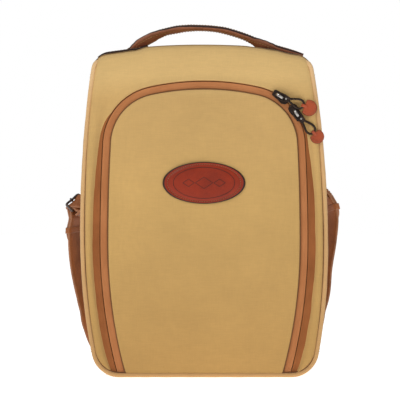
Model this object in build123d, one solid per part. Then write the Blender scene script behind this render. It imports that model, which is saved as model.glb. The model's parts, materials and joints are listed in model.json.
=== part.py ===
"""Binocular harness pack: a small canvas and leather case worn on two shoulder straps.

Millimetres, +Z up. The front faces -Y, +X is the right-hand side seen from the front, and the
origin is the middle of the underside that the case stands on. Every sub-part is written to
parts/NAME.step.
"""
from build123d import *

import math
import os
from dataclasses import dataclass

# ---------------------------------------------------------------- driving dimensions
CASE_DEPTH = 120.0           # over the front and back canvas
HALF_DEPTH = CASE_DEPTH / 2
CANVAS = 1.5                 # waxed canvas with its backing
FOAM = 4.0
LINING = 0.8
GAP = 0.1                    # between layers that are only stitched together
PIPING_D = 5.0
PIPING_ROUND = 2.2

TAPE_T = 0.8                 # zip tape
TAPE_HALF = 12.0             # one half of the zip tape, from the middle line outwards
CHAIN_HALF_GAP = 0.7         # half the gap between the two rows of teeth
COIL_W = 2.9
COIL_T = 2.3
DOOR_INSET = 8.8             # from the zip's middle line to the edge of the door canvas
LIP = 1.1                    # how far the canvas ring stops short of the middle line at the top

SLIDER_L = 17.0
SLIDER_NOSE_W = 11.0
SLIDER_TAIL_W = 8.4
SLIDER_PLATE_T = 2.2
SLIDER_POST_W = 0.8
UPPER_SLIDER_ANGLE = 55.5    # places on the corner of the zip, seen from its centre
LOWER_SLIDER_ANGLE = 32.0
UPPER_PULLER_ANGLE = -22.0   # direction in which each puller lies, from +X towards +Z
LOWER_PULLER_ANGLE = -48.0

HANDLE_SPAN = 84.0           # half the distance between the handle's ends
HANDLE_TOP = 387.0
HANDLE_PIVOT_Z = 366.0
HANDLE_T = 6.4
HANDLE_W = 15.0
HANDLE_NECK_W = 7.0
HANDLE_Y = 22.0

PATCH_W, PATCH_H, PATCH_Z = 91.0, 46.0, 214.0

CUSHION_T = 8.0
STRAP_W = 26.0               # leather strap
STRAP_T = 2.6
PAD_T = 10.0                 # padded part of the shoulder strap
ANCHOR_TOP = (-34.0, 81.5, 322.0)      # line that the left strap swings about
ANCHOR_FOOT = (-121.0, 81.5, 34.0)

os.makedirs("parts", exist_ok=True)
parts = {}


# ---------------------------------------------------------------- outlines in the XZ plane
@dataclass
class Outline:
    """Half outline of an arch: bowed side, round upper corner and crowned top."""
    half_width: float        # at the widest height
    widest_z: float
    corner: tuple            # centre of the upper corner's arc
    corner_r: float
    top: float
    foot: tuple              # centre of the lower corner's arc
    foot_r: float
    cut_z: float = None      # the outline ends here when it has no lower corner


CASE = Outline(136.5, 150.0, (104.5, 339.5), 18.0, 364.0, (94.5, 31.0), 31.0)
ZIP = Outline(114.4, 150.0, (46.3, 255.6), 65.1, 325.8, (70.0, 31.0), 31.0, cut_z=9.0)
LIP_BAND = 3.0                           # folded edge of the front canvas beside the zip
RING_OPENING = Outline(121.6, 150.0, ZIP.corner, ZIP.corner_r + LIP, ZIP.top + LIP,
                       (70.0, 31.0), 37.0, cut_z=8.6)


def point(x, z):
    return Vector(x, 0, z)


def arc(centre, radius, start, end):
    """Edge on a circle in the XZ plane, between two angles in degrees from +X towards +Z."""
    def at(angle):
        a = math.radians(angle)
        return point(centre[0] + radius * math.cos(a), centre[1] + radius * math.sin(a))
    return Edge.make_three_point_arc(at(start), at((start + end) / 2), at(end))


def bow_radius(across, along, small_r):
    """Radius of a flat arc that holds a small circle: tangent to it, and square to its own
    axis at a point that lies across and along from the small circle's centre."""
    return (across ** 2 + along ** 2 - small_r ** 2) / (2 * (across - small_r))


def mirrored(edges):
    return [e.mirror(Plane.YZ) for e in edges]


def arch_face(shape, grow=0.0):
    """Face inside the outline, made larger all round by grow."""
    half = shape.half_width + grow
    top = shape.top + grow
    cx, cz = shape.corner
    corner_r = shape.corner_r + grow
    fx, fz = shape.foot
    foot_r = shape.foot_r + grow

    side_r = bow_radius(half - cx, shape.widest_z - cz, corner_r)
    side_centre = (half - side_r, shape.widest_z)
    side_end = math.degrees(math.atan2(cz - shape.widest_z, cx - side_centre[0]))
    crown_r = bow_radius(top - cz, cx, corner_r)
    crown_centre = (0.0, top - crown_r)
    crown_start = math.degrees(math.atan2(cz - crown_centre[1], cx))
    lower_r = bow_radius(half - fx, shape.widest_z - fz, foot_r)
    lower_centre = (half - lower_r, shape.widest_z)
    if shape.cut_z is None:
        lower_start = math.degrees(math.atan2(fz - shape.widest_z, fx - lower_centre[0]))
        foot = [arc(shape.foot, foot_r, -90, lower_start)]
        foot_x, foot_z = fx, fz - foot_r
    else:
        lower_start = -math.degrees(math.asin((shape.widest_z - shape.cut_z) / lower_r))
        foot = []
        foot_x = lower_centre[0] + lower_r * math.cos(math.radians(lower_start))
        foot_z = shape.cut_z

    half_edges = foot + [
        arc(lower_centre, lower_r, lower_start, 0),
        arc(side_centre, side_r, 0, side_end),
        arc(shape.corner, corner_r, side_end, crown_start),
    ]
    crown = arc(crown_centre, crown_r, crown_start, 180 - crown_start)
    base = Edge.make_line(point(-foot_x, foot_z), point(foot_x, foot_z))
    return Face(Wire([base, *half_edges, crown, *mirrored(half_edges)]))


def slab(face, y0, y1):
    """Solid between two Y levels under a face that lies at Y = 0."""
    return extrude(face.moved(Location((0, y0, 0))), amount=y1 - y0, dir=(0, 1, 0))


def band(shape, outer, inner, y0, y1):
    """Strip that follows an outline between two offsets from it."""
    return slab(arch_face(shape, outer), y0, y1) - slab(arch_face(shape, inner), y0 - 1, y1 + 1)


def block(x0, x1, y0, y1, z0, z1):
    return Pos((x0 + x1) / 2, (y0 + y1) / 2, (z0 + z1) / 2) * Box(x1 - x0, y1 - y0, z1 - z0)


def rounded(solid, radius, axis, *levels):
    """Fillet the rims that lie at the given levels along an axis."""
    rims = [e for level in levels
            for e in solid.edges().filter_by_position(axis, level - 0.01, level + 0.01)]
    return fillet(rims, radius)


def arc_strip(p0, p1, p2, width):
    """Face of a strip in the XZ plane that follows the arc through three points."""
    (x0, z0), (x1, z1), (x2, z2) = p0, p1, p2
    d = 2 * (x0 * (z1 - z2) + x1 * (z2 - z0) + x2 * (z0 - z1))
    s0, s1, s2 = x0 ** 2 + z0 ** 2, x1 ** 2 + z1 ** 2, x2 ** 2 + z2 ** 2
    cx = (s0 * (z1 - z2) + s1 * (z2 - z0) + s2 * (z0 - z1)) / d
    cz = (s0 * (x2 - x1) + s1 * (x0 - x2) + s2 * (x1 - x0)) / d
    radius = math.hypot(x0 - cx, z0 - cz)

    def beside(x, z, off):
        k = (radius + off) / radius
        return point(cx + (x - cx) * k, cz + (z - cz) * k)

    outer = [beside(x, z, width / 2) for x, z in (p0, p1, p2)]
    inner = [beside(x, z, -width / 2) for x, z in (p0, p1, p2)]
    return Face(Wire([
        Edge.make_three_point_arc(*outer), Edge.make_line(outer[2], inner[2]),
        Edge.make_three_point_arc(*inner[::-1]), Edge.make_line(inner[0], outer[0])]))


def polygon_face(points):
    """Face in the XZ plane with straight sides."""
    corners = [point(x, z) for x, z in points]
    return Face(Wire([Edge.make_line(a, b) for a, b in zip(corners, corners[1:] + corners[:1])]))


# ---------------------------------------------------------------- levels through the depth
FRONT = -HALF_DEPTH                      # outer face of the front canvas
BACK = HALF_DEPTH
RING_Y = (FRONT, FRONT + CANVAS)
TAPE_Y = (RING_Y[1] + GAP, RING_Y[1] + GAP + TAPE_T)
COIL_Y = (TAPE_Y[1] + GAP, TAPE_Y[1] + GAP + COIL_T)
PANEL_INSET = PIPING_D + GAP             # front and back panels stop inside the piping
WALL_OUT = 1.0                           # canvas walls lie this far inside the piping's outside
WALL_IN = WALL_OUT + CANVAS
FOAM_IN = WALL_IN + GAP + FOAM
LINING_OUT = FOAM_IN + GAP
LINING_IN = LINING_OUT + LINING
BOARD_T = 1.8
BASE_FOAM_IN = WALL_IN + GAP + FOAM - BOARD_T - GAP
WALL_END = HALF_DEPTH - PIPING_D / 2 - GAP
BACK_FOAM_Y = (BACK - CANVAS - GAP - FOAM, BACK - CANVAS - GAP)
BACK_BOARD_Y = (BACK_FOAM_Y[0] - GAP - BOARD_T, BACK_FOAM_Y[0] - GAP)
LINING_BACK_Y = (BACK_BOARD_Y[0] - GAP - LINING, BACK_BOARD_Y[0] - GAP)
LINING_FRONT_Y = FRONT + 4.6
TOP_CUT, BASE_CUT = 330.0, 31.0          # where the top and base walls are seamed to the sides


# ---------------------------------------------------------------- case
def split_walls(ring):
    """The left, right, top and base pieces of a wall that goes all round."""
    wide, deep = 200.0, 100.0
    return {
        "left": ring & block(-wide, 0, -deep, deep, BASE_CUT, TOP_CUT),
        "right": ring & block(0, wide, -deep, deep, BASE_CUT, TOP_CUT),
        "top": ring & block(-wide, wide, -deep, deep, TOP_CUT, 400),
        "base": ring & block(-wide, wide, -deep, deep, -10, BASE_CUT),
    }


def make_case():
    panel = arch_face(CASE, -PANEL_INSET)
    parts["front_ring"] = slab(panel, *RING_Y) - slab(
        arch_face(RING_OPENING, LIP_BAND), RING_Y[0] - 1, RING_Y[1] + 1)
    parts["zip_lip"] = band(RING_OPENING, LIP_BAND, 0, *RING_Y)
    parts["back_panel"] = slab(panel, BACK - CANVAS, BACK)

    canvas = split_walls(band(CASE, -WALL_OUT, -WALL_IN, -WALL_END, WALL_END))
    canvas["base"] = split_walls(band(CASE, 0, -WALL_IN, -WALL_END, WALL_END))["base"]
    foam = split_walls(band(CASE, -WALL_IN - GAP, -FOAM_IN, -WALL_END, WALL_END))
    base_foam = split_walls(band(CASE, -WALL_IN - GAP, -BASE_FOAM_IN, -WALL_END, WALL_END))
    for side in ("left", "right", "top", "base"):
        parts[f"gusset_{side}"] = canvas[side]
        parts[f"foam_{side}"] = (base_foam if side == "base" else foam)[side]

    for name, level in (("front_piping", FRONT), ("back_piping", BACK)):
        y0, y1 = level - PIPING_D / 2, level + PIPING_D / 2
        parts[name] = rounded(band(CASE, 0, -PIPING_D, y0, y1), PIPING_ROUND, Axis.Y, y0, y1)

    inside_foam = arch_face(CASE, -FOAM_IN - GAP)
    parts["back_foam"] = slab(inside_foam, *BACK_FOAM_Y)
    parts["back_board"] = slab(arch_face(CASE, -FOAM_IN - 3), *BACK_BOARD_Y)
    base_z = BASE_FOAM_IN + GAP
    parts["base_board"] = block(-88, 88, -WALL_END, LINING_BACK_Y[1], base_z, base_z + BOARD_T)
    tub = band(CASE, -LINING_OUT, -LINING_IN, LINING_FRONT_Y, LINING_BACK_Y[1])
    parts["lining"] = tub + slab(arch_face(CASE, -LINING_OUT), *LINING_BACK_Y)


def make_zip():
    case_half = (TAPE_HALF, CHAIN_HALF_GAP)
    door_half = (-CHAIN_HALF_GAP, -TAPE_HALF)
    stop_z = (9.5, 13.0)
    clear_of_stops = block(-200, 200, -80, 80, stop_z[1] + GAP, 400)
    parts["zip_tape_case"] = band(ZIP, *case_half, *TAPE_Y)
    parts["zip_tape_door"] = band(ZIP, *door_half, *TAPE_Y)
    coil_case = band(ZIP, CHAIN_HALF_GAP + COIL_W, CHAIN_HALF_GAP, *COIL_Y)
    coil_door = band(ZIP, -CHAIN_HALF_GAP, -CHAIN_HALF_GAP - COIL_W, *COIL_Y)
    parts["zip_coil_case"] = coil_case & clear_of_stops
    parts["zip_coil_door"] = coil_door & clear_of_stops
    stops = coil_case & block(-200, 200, -80, 80, *stop_z)
    parts["zip_end_stops"] = Compound(children=list(stops.solids()))


def make_door():
    foam_y = (TAPE_Y[0], TAPE_Y[0] + FOAM)
    parts["door_panel"] = slab(arch_face(ZIP, -DOOR_INSET), *RING_Y)
    parts["door_foam"] = slab(arch_face(ZIP, -TAPE_HALF - GAP), *foam_y)
    parts["door_lining"] = slab(arch_face(ZIP, -TAPE_HALF + 2), foam_y[1] + GAP,
                                foam_y[1] + GAP + LINING)
    oval = Plane.XZ.offset(-FRONT) * Pos(0, PATCH_Z)
    backing = extrude(oval * Ellipse(PATCH_W / 2, PATCH_H / 2), amount=1.0)
    face = extrude(oval * Pos(0, 0, 1.0) * Ellipse(PATCH_W / 2 - 1, PATCH_H / 2 - 1), amount=1.2)
    parts["patch_backing"] = backing
    parts["patch"] = face


# ---------------------------------------------------------------- sliders and pullers
def on_zip_corner(angle):
    a = math.radians(angle)
    return (ZIP.corner[0] + ZIP.corner_r * math.cos(a), ZIP.corner[1] + ZIP.corner_r * math.sin(a))


SLIDER_FRONT_Y = FRONT - 0.5             # back of the slider's front plate, clear of the canvas
PULLER_Y = FRONT - 5.2                   # middle plane of the pullers
BAR_R = 0.7
EYE_W = 6.4                              # over the legs of the puller's eye
RING_CENTRE, RING_R, RING_WIRE = 21.5, 6.0, 1.6
TAB_PIVOT = RING_CENTRE + RING_R - RING_WIRE / 2 - 0.2
TAB_CENTRE, TAB_R, TAB_T = 35.5, 8.3, 2.6
TAB_NECK = 1.9                           # half the width of the loop round the ring
LOOP_OUT, LOOP_IN = 2.7, 1.55


def slider_frame(angle, nose):
    """Local frame of a slider: x along the chain towards its nose, y across the chain and z
    out of the front. The door's half lies at +y when nose is 1, and at -y when it is -1."""
    x, z = on_zip_corner(angle)
    turn = math.radians(angle)
    along = Vector(-math.sin(turn), 0, math.cos(turn)) * nose
    return Plane(origin=(x, 0, z), x_dir=along, z_dir=(0, -1, 0))


def make_slider(angle, nose):
    frame = slider_frame(angle, nose)
    inward = nose                        # local y of the door's half of the chain
    nose_x, tail_x = SLIDER_L / 2, -SLIDER_L / 2
    front = -SLIDER_FRONT_Y
    outline = Polyline(
        (tail_x, -SLIDER_TAIL_W / 2), (nose_x - 5, -SLIDER_NOSE_W / 2), (nose_x, -3.2),
        (nose_x, 3.2), (nose_x - 5, SLIDER_NOSE_W / 2), (tail_x, SLIDER_TAIL_W / 2), close=True)
    body = Pos(0, 0, front) * extrude(make_face(outline), amount=SLIDER_PLATE_T)
    body = rounded(body, 0.6, Axis.Z, front + SLIDER_PLATE_T)

    axle_z = -PULLER_Y
    bridge = Pos(0, 0, front + SLIDER_PLATE_T) * Box(
        7.2, 2.6, axle_z + 2.1 - front - SLIDER_PLATE_T, align=(Align.CENTER, Align.CENTER, Align.MIN))
    bridge = fillet(bridge.edges().filter_by(Axis.Y).sort_by(Axis.Z)[-2:], 1.6)
    window = Pos(0, 0, axle_z) * Box(4.2, 4.0, 2.0)
    body = body + (bridge - window)

    post_back = -COIL_Y[1] - 0.5
    post = Pos(nose_x - 4.5, 0, 0) * Box(
        5.0, SLIDER_POST_W, 1, align=(Align.CENTER, Align.CENTER, Align.MIN))
    post = Pos(0, 0, post_back) * scale(post, (1, 1, front + 0.5 - post_back))
    rear_t = 1.3
    rear_w = SLIDER_NOSE_W / 2
    rear = Pos(0.5, inward * rear_w / 2, post_back - rear_t) * Box(
        13.0, rear_w, rear_t, align=(Align.CENTER, Align.CENTER, Align.MIN))
    rear = rear + Pos(nose_x - 4.5, 0, post_back - rear_t) * Box(
        5.0, SLIDER_POST_W, rear_t, align=(Align.CENTER, Align.CENTER, Align.MIN))
    flange_w = 1.1
    flange = Pos(0.5, inward * (rear_w - flange_w / 2), post_back) * Box(
        9.0, flange_w, -TAPE_Y[1] - 0.4 - post_back, align=(Align.CENTER, Align.CENTER, Align.MIN))
    return frame * (body + post + rear + flange)


def puller_frame(angle, direction):
    x, z = on_zip_corner(angle)
    a = math.radians(direction)
    return Plane(origin=(x, PULLER_Y, z), x_dir=(math.cos(a), 0, math.sin(a)), z_dir=(0, -1, 0))


def teardrop(radius, tip_x, tip_w):
    """Round end at the ring's centre, drawn in to a narrow tip."""
    end = (Pos(RING_CENTRE, 0) * Circle(radius)).edges()
    tip = (Pos(tip_x, 0) * Rectangle(0.5, tip_w)).edges()
    return make_hull([*end, *tip])


def make_puller(angle, direction, t=1.5):
    """Cast puller: axle, eye, plate and teardrop ring, lying along local x."""
    axle = Rot(90, 0, 0) * Cylinder(BAR_R, EYE_W)
    legs = [Pos(3.0, side * (EYE_W / 2 - 0.55), 0) * Box(7.2, 1.1, t) for side in (-1, 1)]
    plate = Pos(8.0, 0, 0) * Box(4.4, EYE_W + 1.2, t)
    drop = extrude(teardrop(RING_R, 10.0, 3.0), amount=t / 2, both=True)
    hole = extrude(teardrop(RING_R - RING_WIRE, 12.2, 0.8), amount=t, both=True)
    body = plate + (drop - hole) + axle
    for leg in legs:
        body = body + leg
    return puller_frame(angle, direction) * body


def make_tab(angle, direction):
    """Leather tab: a round end and a neck that loops through the puller's ring."""
    disc = extrude(Circle(TAB_R).moved(Location((TAB_CENTRE, 0, 0))), amount=TAB_T / 2, both=True)
    neck = Pos((TAB_PIVOT + TAB_CENTRE) / 2, 0, 0) * Box(TAB_CENTRE - TAB_PIVOT, 2 * TAB_NECK, TAB_T)
    loop = Pos(TAB_PIVOT, 0, 0) * Rot(90, 0, 0) * Cylinder(LOOP_OUT, 2 * TAB_NECK)
    channel = Pos(TAB_PIVOT, 0, 0) * Rot(90, 0, 0) * Cylinder(LOOP_IN, 4 * TAB_NECK)
    shoulder = Pos(TAB_PIVOT, 0, 0) * Rot(90, 0, 0) * Cylinder(LOOP_OUT, 40)
    return puller_frame(angle, direction) * ((disc - shoulder) + neck + loop - channel)


def make_sliders():
    for name, angle, direction, nose in (
            ("upper", UPPER_SLIDER_ANGLE, UPPER_PULLER_ANGLE, -1),
            ("lower", LOWER_SLIDER_ANGLE, LOWER_PULLER_ANGLE, 1)):
        parts[f"slider_{name}"] = make_slider(angle, nose)
        parts[f"puller_{name}"] = make_puller(angle, direction)
        parts[f"puller_tab_{name}"] = make_tab(angle, direction)


# ---------------------------------------------------------------- handle
def make_handle():
    y0, y1 = HANDLE_Y - HANDLE_W / 2, HANDLE_Y + HANDLE_W / 2
    end = HANDLE_SPAN - 0.5
    neck_half, wide_half, flare_start, flare_end = HANDLE_NECK_W / 2, HANDLE_W / 2, 60.0, 70.0
    half_plan = [(flare_start, wide_half), (flare_end, neck_half), (end, neck_half),
                 (end, -neck_half), (flare_end, -neck_half), (flare_start, -wide_half)]
    plan = half_plan + [(-x, -y) for x, y in half_plan]
    plan = Pos(0, HANDLE_Y, 340) * extrude(make_face(Polyline(*plan, close=True)), amount=60)
    crown = HANDLE_TOP - HANDLE_T / 2
    grip = arc_strip((-HANDLE_SPAN, HANDLE_PIVOT_Z), (0, crown), (HANDLE_SPAN, HANDLE_PIVOT_Z),
                     HANDLE_T)
    parts["handle"] = slab(grip, y0, y1) & plan

    strip_t, strip_half_w, strip_end = 2.2, 12.0, 117.0
    strip_out = strip_t - WALL_OUT + GAP
    strips = band(CASE, strip_out, -WALL_OUT + GAP, HANDLE_Y - strip_half_w, HANDLE_Y + strip_half_w)
    above_strip = slab(arch_face(CASE, strip_out + GAP), y0 - 5, y1 + 5)
    for name, side in (("left", -1), ("right", 1)):
        reach = block(*sorted((side * HANDLE_SPAN, side * strip_end)), -80, 80, 345, 400)
        parts[f"handle_strip_{name}"] = strips & reach
        outline = polygon_face([
            (side * HANDLE_SPAN, 350), (side * 116, 340), (side * 116, 353.5),
            (side * 104, 358.5), (side * HANDLE_SPAN, HANDLE_PIVOT_Z + HANDLE_T / 2)])
        parts[f"handle_end_{name}"] = slab(outline, y0, y1) - above_strip


# ---------------------------------------------------------------- back and harness
def make_back():
    y0, y1 = BACK + GAP, BACK + GAP + CUSHION_T
    for name, side in (("left", -1), ("right", 1)):
        pad = block(*sorted((side * 14, side * 102)), y0, y1, 74, 296)
        pad = fillet(pad.edges().filter_by(Axis.Y), 18)
        parts[f"back_cushion_{name}"] = rounded(pad, 4, Axis.Y, y1)
    lumbar = fillet(block(-96, 96, y0, y1, 22, 66).edges().filter_by(Axis.Y), 16)
    parts["lumbar_cushion"] = rounded(lumbar, 4, Axis.Y, y1)
    yoke = polygon_face([(-62, 346), (62, 346), (56, 318), (34, 304), (-34, 304), (-56, 318)])
    parts["strap_yoke"] = slab(yoke, BACK + GAP, BACK + GAP + STRAP_T)


def unit(v):
    length = math.sqrt(sum(c * c for c in v))
    return tuple(c / length for c in v)


SWING = unit(tuple(a - b for a, b in zip(ANCHOR_TOP, ANCHOR_FOOT)))


def half_space(through, direction, size=400.0):
    """Box that fills everything on the side of a plane that direction points to."""
    plane = Plane(origin=through, z_dir=direction)
    return plane * Box(size, size, size, align=(Align.CENTER, Align.CENTER, Align.MIN))


def along_swing(t):
    """Point on the strap's swing line, t from 0 at the foot to 1 at the top."""
    return tuple(b + (a - b) * t for a, b in zip(ANCHOR_TOP, ANCHOR_FOOT))


def side_profile(points, thickness, x0=-200.0, x1=0.0):
    """Slab whose Y level follows (z, y) points, with its thickness measured along Y."""
    up = [Vector(x0, y + thickness / 2, z) for z, y in points]
    down = [Vector(x0, y - thickness / 2, z) for z, y in points]
    loop = up + down[::-1]
    face = Face(Wire([Edge.make_line(a, b) for a, b in zip(loop, loop[1:] + loop[:1])]))
    return extrude(face, amount=x1 - x0, dir=(1, 0, 0))


# A strap is modelled on the left and mirrored for the right. The buckle's bars lie along Y.
BUCKLE_L, BUCKLE_W, BUCKLE_BAR = 19.0, 33.0, 3.0
HEEL_R = BUCKLE_BAR / math.sqrt(2)       # over the corners of the square heel bar
FOLD_IN = HEEL_R + 0.2
FOLD_OUT = FOLD_IN + STRAP_T
PRONG_W = 2.4
STRAP_Y = ANCHOR_FOOT[1]                 # middle of the leather straps' width
STRAP_YS = (STRAP_Y - STRAP_W / 2, STRAP_Y + STRAP_W / 2)


@dataclass
class Strap:
    """Course of one shoulder strap in the XZ plane."""
    heel: tuple              # heel bar of the buckle
    tilt: float              # direction from the heel bar to the front bar, from +X towards +Z
    bend: tuple              # corner that the lower strap rounds between its anchor and buckle
    bend_r: float
    pad: tuple               # three points of the padded part, from its top to its end


STRAPS = {
    "left": Strap((-151.5, 190.0), 90.0, (-147.5, 118.0), 300.0,
                  ((-35, 325), (-70, 272), (-116, 226))),
    "right": Strap((-131.0, 213.0), 70.0, (-152.5, 158.0), 66.0,
                   ((-35, 325), (-62, 284), (-100, 252))),
}
LOWER_START = (-124.5, 40.0)


def strip(points, width, radius):
    """Face of a strip in the XZ plane along straight runs with rounded corners."""
    return Plane.XZ * trace(FilletPolyline(*points, radius=radius), width)


def make_anchors():
    """Leather tabs sewn to the case, cut square to the swing line where the strap starts."""
    top_end, foot_end = along_swing(0.965), along_swing(0.045)
    down = tuple(-c for c in SWING)
    top = side_profile([(350, 64.6), (334, 67), (318, 79), (300, 82)], 4.0)
    top = top & slab(arc_strip((-30, 344), (-34.5, 325), (-41, 300), 24), 50, 100)
    clear_of_yoke = block(-100, 100, 40, BACK + STRAP_T + 2 * GAP, 200, 400)
    top = (top & half_space(top_end, SWING)) - clear_of_yoke
    foot = polygon_face([(-116, 24), (-96, 24), (-96, 38), (-110, 58), (-120, 58), (-120, 40)])
    foot = slab(foot, BACK + GAP, BACK + GAP + 3.0)
    lug = slab(arc_strip((-112, 22), (-118, 33), (-124.5, 48), 5),
               BACK + PIPING_D / 2 + GAP, STRAP_YS[1])
    return {"upper_anchor": top, "lower_anchor": (foot + lug) & half_space(foot_end, down)}


def make_strap(strap):
    """The pieces of a strap that swing together, and the buckle's prong."""
    tilt = math.radians(strap.tilt)
    plane = Plane(origin=(strap.heel[0], STRAP_Y, strap.heel[1]),
                  x_dir=(math.cos(tilt), 0, math.sin(tilt)), z_dir=(0, 1, 0))
    down = tuple(-c for c in SWING)
    start = tuple(c + 0.5 * d for c, d in zip(along_swing(0.965), down))
    end = tuple(c + 0.5 * d for c, d in zip(along_swing(0.045), SWING))

    def across(sketch, width):
        """Extrude a sketch across the strap: x runs up the strap, y towards the case."""
        return plane * extrude(sketch, amount=width / 2, both=True)

    def in_xz(along, inward):
        p = plane.from_local_coords((along, inward, 0))
        return (p.X, p.Z)

    pieces = {}
    profile = side_profile([(345, 81), (300, 83), (240, 86), (150, 86)], PAD_T)
    pad = slab(arc_strip(*strap.pad, 46), 40, 120)
    pieces["shoulder_pad"] = pad & profile & half_space(start, down)

    lower = slab(strip([LOWER_START, strap.bend, strap.heel], STRAP_T, strap.bend_r), *STRAP_YS)
    lower = lower & half_space(end, SWING)
    fold = Circle(FOLD_OUT) + Pos(-3, 0) * Rectangle(6, 2 * FOLD_OUT) - Circle(FOLD_IN)
    slot = across(Pos(2, 0) * Rectangle(15, 12), PRONG_W + 1.2)
    room = across(Pos(3, 0) * Rectangle(17.8, 20), STRAP_W + 2)
    pieces["lower_strap"] = (lower - room) + (across(fold, STRAP_W) - slot)

    # The tongue passes inside the front bar and out over the fold, with a slot for the prong.
    pad_end = strap.pad[2]
    over_fold = -FOLD_OUT - 2.3
    tongue = strip([pad_end, in_xz(17, 3.6), in_xz(3.5, over_fold), in_xz(-46, over_fold)],
                   STRAP_T, 4)
    tongue = slab(tongue, *STRAP_YS) - across(Pos(9.5, 0) * Rectangle(10, 24), PRONG_W + 1.2)
    pieces["strap_tongue"] = tongue - slab(arc_strip(*strap.pad, 46.2), 40, 120)

    sleeve = Pos(-28, -2.9) * Rectangle(8, 14.6)
    hollow = Pos(-28, -2.9) * Rectangle(10, 12.2)
    pieces["keeper"] = across(sleeve, STRAP_W + 3.4) - across(hollow, STRAP_W + 0.8)

    outer = RectangleRounded(BUCKLE_L + BUCKLE_BAR, BUCKLE_W + BUCKLE_BAR, 4)
    inner = RectangleRounded(BUCKLE_L - BUCKLE_BAR, BUCKLE_W - BUCKLE_BAR, 2)
    frame = extrude(Pos(BUCKLE_L / 2, 0) * (outer - inner), amount=BUCKLE_BAR / 2, both=True)
    pieces["buckle_frame"] = plane * Rot(90, 0, 0) * frame

    ring = Circle(HEEL_R + 1.3) - Circle(HEEL_R + 0.1)
    rod = Pos(BUCKLE_L / 2 + 1.2, -2.6) * Rot(0, 0, -4) * Rectangle(BUCKLE_L + 1.0, 1.8)
    pieces["buckle_prong"] = across(ring + (rod - Circle(HEEL_R + 0.1)), PRONG_W)
    return pieces


def make_harness():
    for name, solid in make_anchors().items():
        parts[f"{name}_left"] = solid
        parts[f"{name}_right"] = mirror(solid, about=Plane.YZ)
    for name, solid in make_strap(STRAPS["left"]).items():
        parts[f"{name}_left"] = solid
    for name, solid in make_strap(STRAPS["right"]).items():
        parts[f"{name}_right"] = mirror(solid, about=Plane.YZ)


# ---------------------------------------------------------------- build and write
make_case()
make_zip()
make_door()
make_sliders()
make_handle()
make_back()
make_harness()

for name, shape in parts.items():
    export_step(shape, f"parts/{name}.step")
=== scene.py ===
"""Looks of the binocular harness pack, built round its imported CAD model.

Shapes are worked out in millimetres and turned to metres when a mesh is made. The front faces -Y.
"""
import json
import math

import bmesh
import bpy
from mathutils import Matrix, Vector, noise


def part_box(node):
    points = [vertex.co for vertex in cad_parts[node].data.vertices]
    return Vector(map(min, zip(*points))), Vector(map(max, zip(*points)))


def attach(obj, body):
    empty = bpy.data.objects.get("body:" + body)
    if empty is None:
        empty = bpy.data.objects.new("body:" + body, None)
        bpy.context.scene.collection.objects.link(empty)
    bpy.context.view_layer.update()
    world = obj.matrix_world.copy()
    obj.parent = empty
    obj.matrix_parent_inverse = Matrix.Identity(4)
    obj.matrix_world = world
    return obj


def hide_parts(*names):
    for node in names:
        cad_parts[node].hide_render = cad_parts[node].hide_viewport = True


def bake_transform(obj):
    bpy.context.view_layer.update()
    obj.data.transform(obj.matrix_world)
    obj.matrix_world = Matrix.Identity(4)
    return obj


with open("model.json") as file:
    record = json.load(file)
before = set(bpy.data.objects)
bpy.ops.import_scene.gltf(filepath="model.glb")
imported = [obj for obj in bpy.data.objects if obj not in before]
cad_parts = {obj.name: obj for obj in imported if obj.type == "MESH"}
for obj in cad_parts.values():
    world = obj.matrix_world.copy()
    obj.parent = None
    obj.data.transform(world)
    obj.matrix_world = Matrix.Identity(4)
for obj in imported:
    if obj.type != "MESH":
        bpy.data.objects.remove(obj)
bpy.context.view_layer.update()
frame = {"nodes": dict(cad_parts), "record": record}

MM = 0.001
SEED = 7
UP = Vector((0, 0, 1))
INTO = Vector((0, 1, 0))                     # from the front of the pack to its back


def cad_mm(node):
    """Lowest and highest corner of a CAD node, in millimetres."""
    low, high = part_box(node)
    return low / MM, high / MM


# ---------------------------------------------------------------- sizes taken from the frame
CASE_LOW, CASE_HIGH = cad_mm("front_piping")
FRONT_Y = cad_mm("front_ring")[0].y          # outer face of the front canvas
BACK_Y = cad_mm("back_panel")[1].y
TAPE_FRONT_Y = cad_mm("zip_tape_case")[0].y
HALF_W, TOP_Z = CASE_HIGH.x, CASE_HIGH.z
PIPING_R = (CASE_HIGH.y - CASE_LOW.y) / 2
PATCH_LOW, PATCH_HIGH = cad_mm("patch_backing")

# ---------------------------------------------------------------- camera, light and floor
VIEW_WIDTH = 440.0                           # what the view takes in at the front canvas, mm
CAMERA_AWAY = 3000.0
SENSOR = 36.0
SKY = 0.25                                   # light from the sky that the camera doesn't see
FLOOR_HALF = 12.0                            # in metres
FLOOR_GLOW = 0.86                            # brings the floor up to the white of the sky
CAMERA_X, CAMERA_Z = -4.4, 195.2


def make_camera():
    data = bpy.data.cameras.new("camera")
    data.sensor_width = SENSOR
    data.lens = SENSOR * CAMERA_AWAY / VIEW_WIDTH
    data.clip_end = 50
    camera = bpy.data.objects.new("camera", data)
    camera.location = Vector((CAMERA_X, FRONT_Y - CAMERA_AWAY, CAMERA_Z)) * MM
    camera.rotation_euler = (math.radians(90), 0, 0)
    bpy.context.scene.collection.objects.link(camera)
    bpy.context.scene.camera = camera


def make_light(name, place, target, size, watts):
    data = bpy.data.lights.new(name, "AREA")
    data.shape = "RECTANGLE"
    data.size, data.size_y = size
    data.energy = watts
    light = bpy.data.objects.new(name, data)
    light.location = place
    light.rotation_euler = (Vector(target) - Vector(place)).to_track_quat("-Z", "Y").to_euler()
    bpy.context.scene.collection.objects.link(light)


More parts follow.
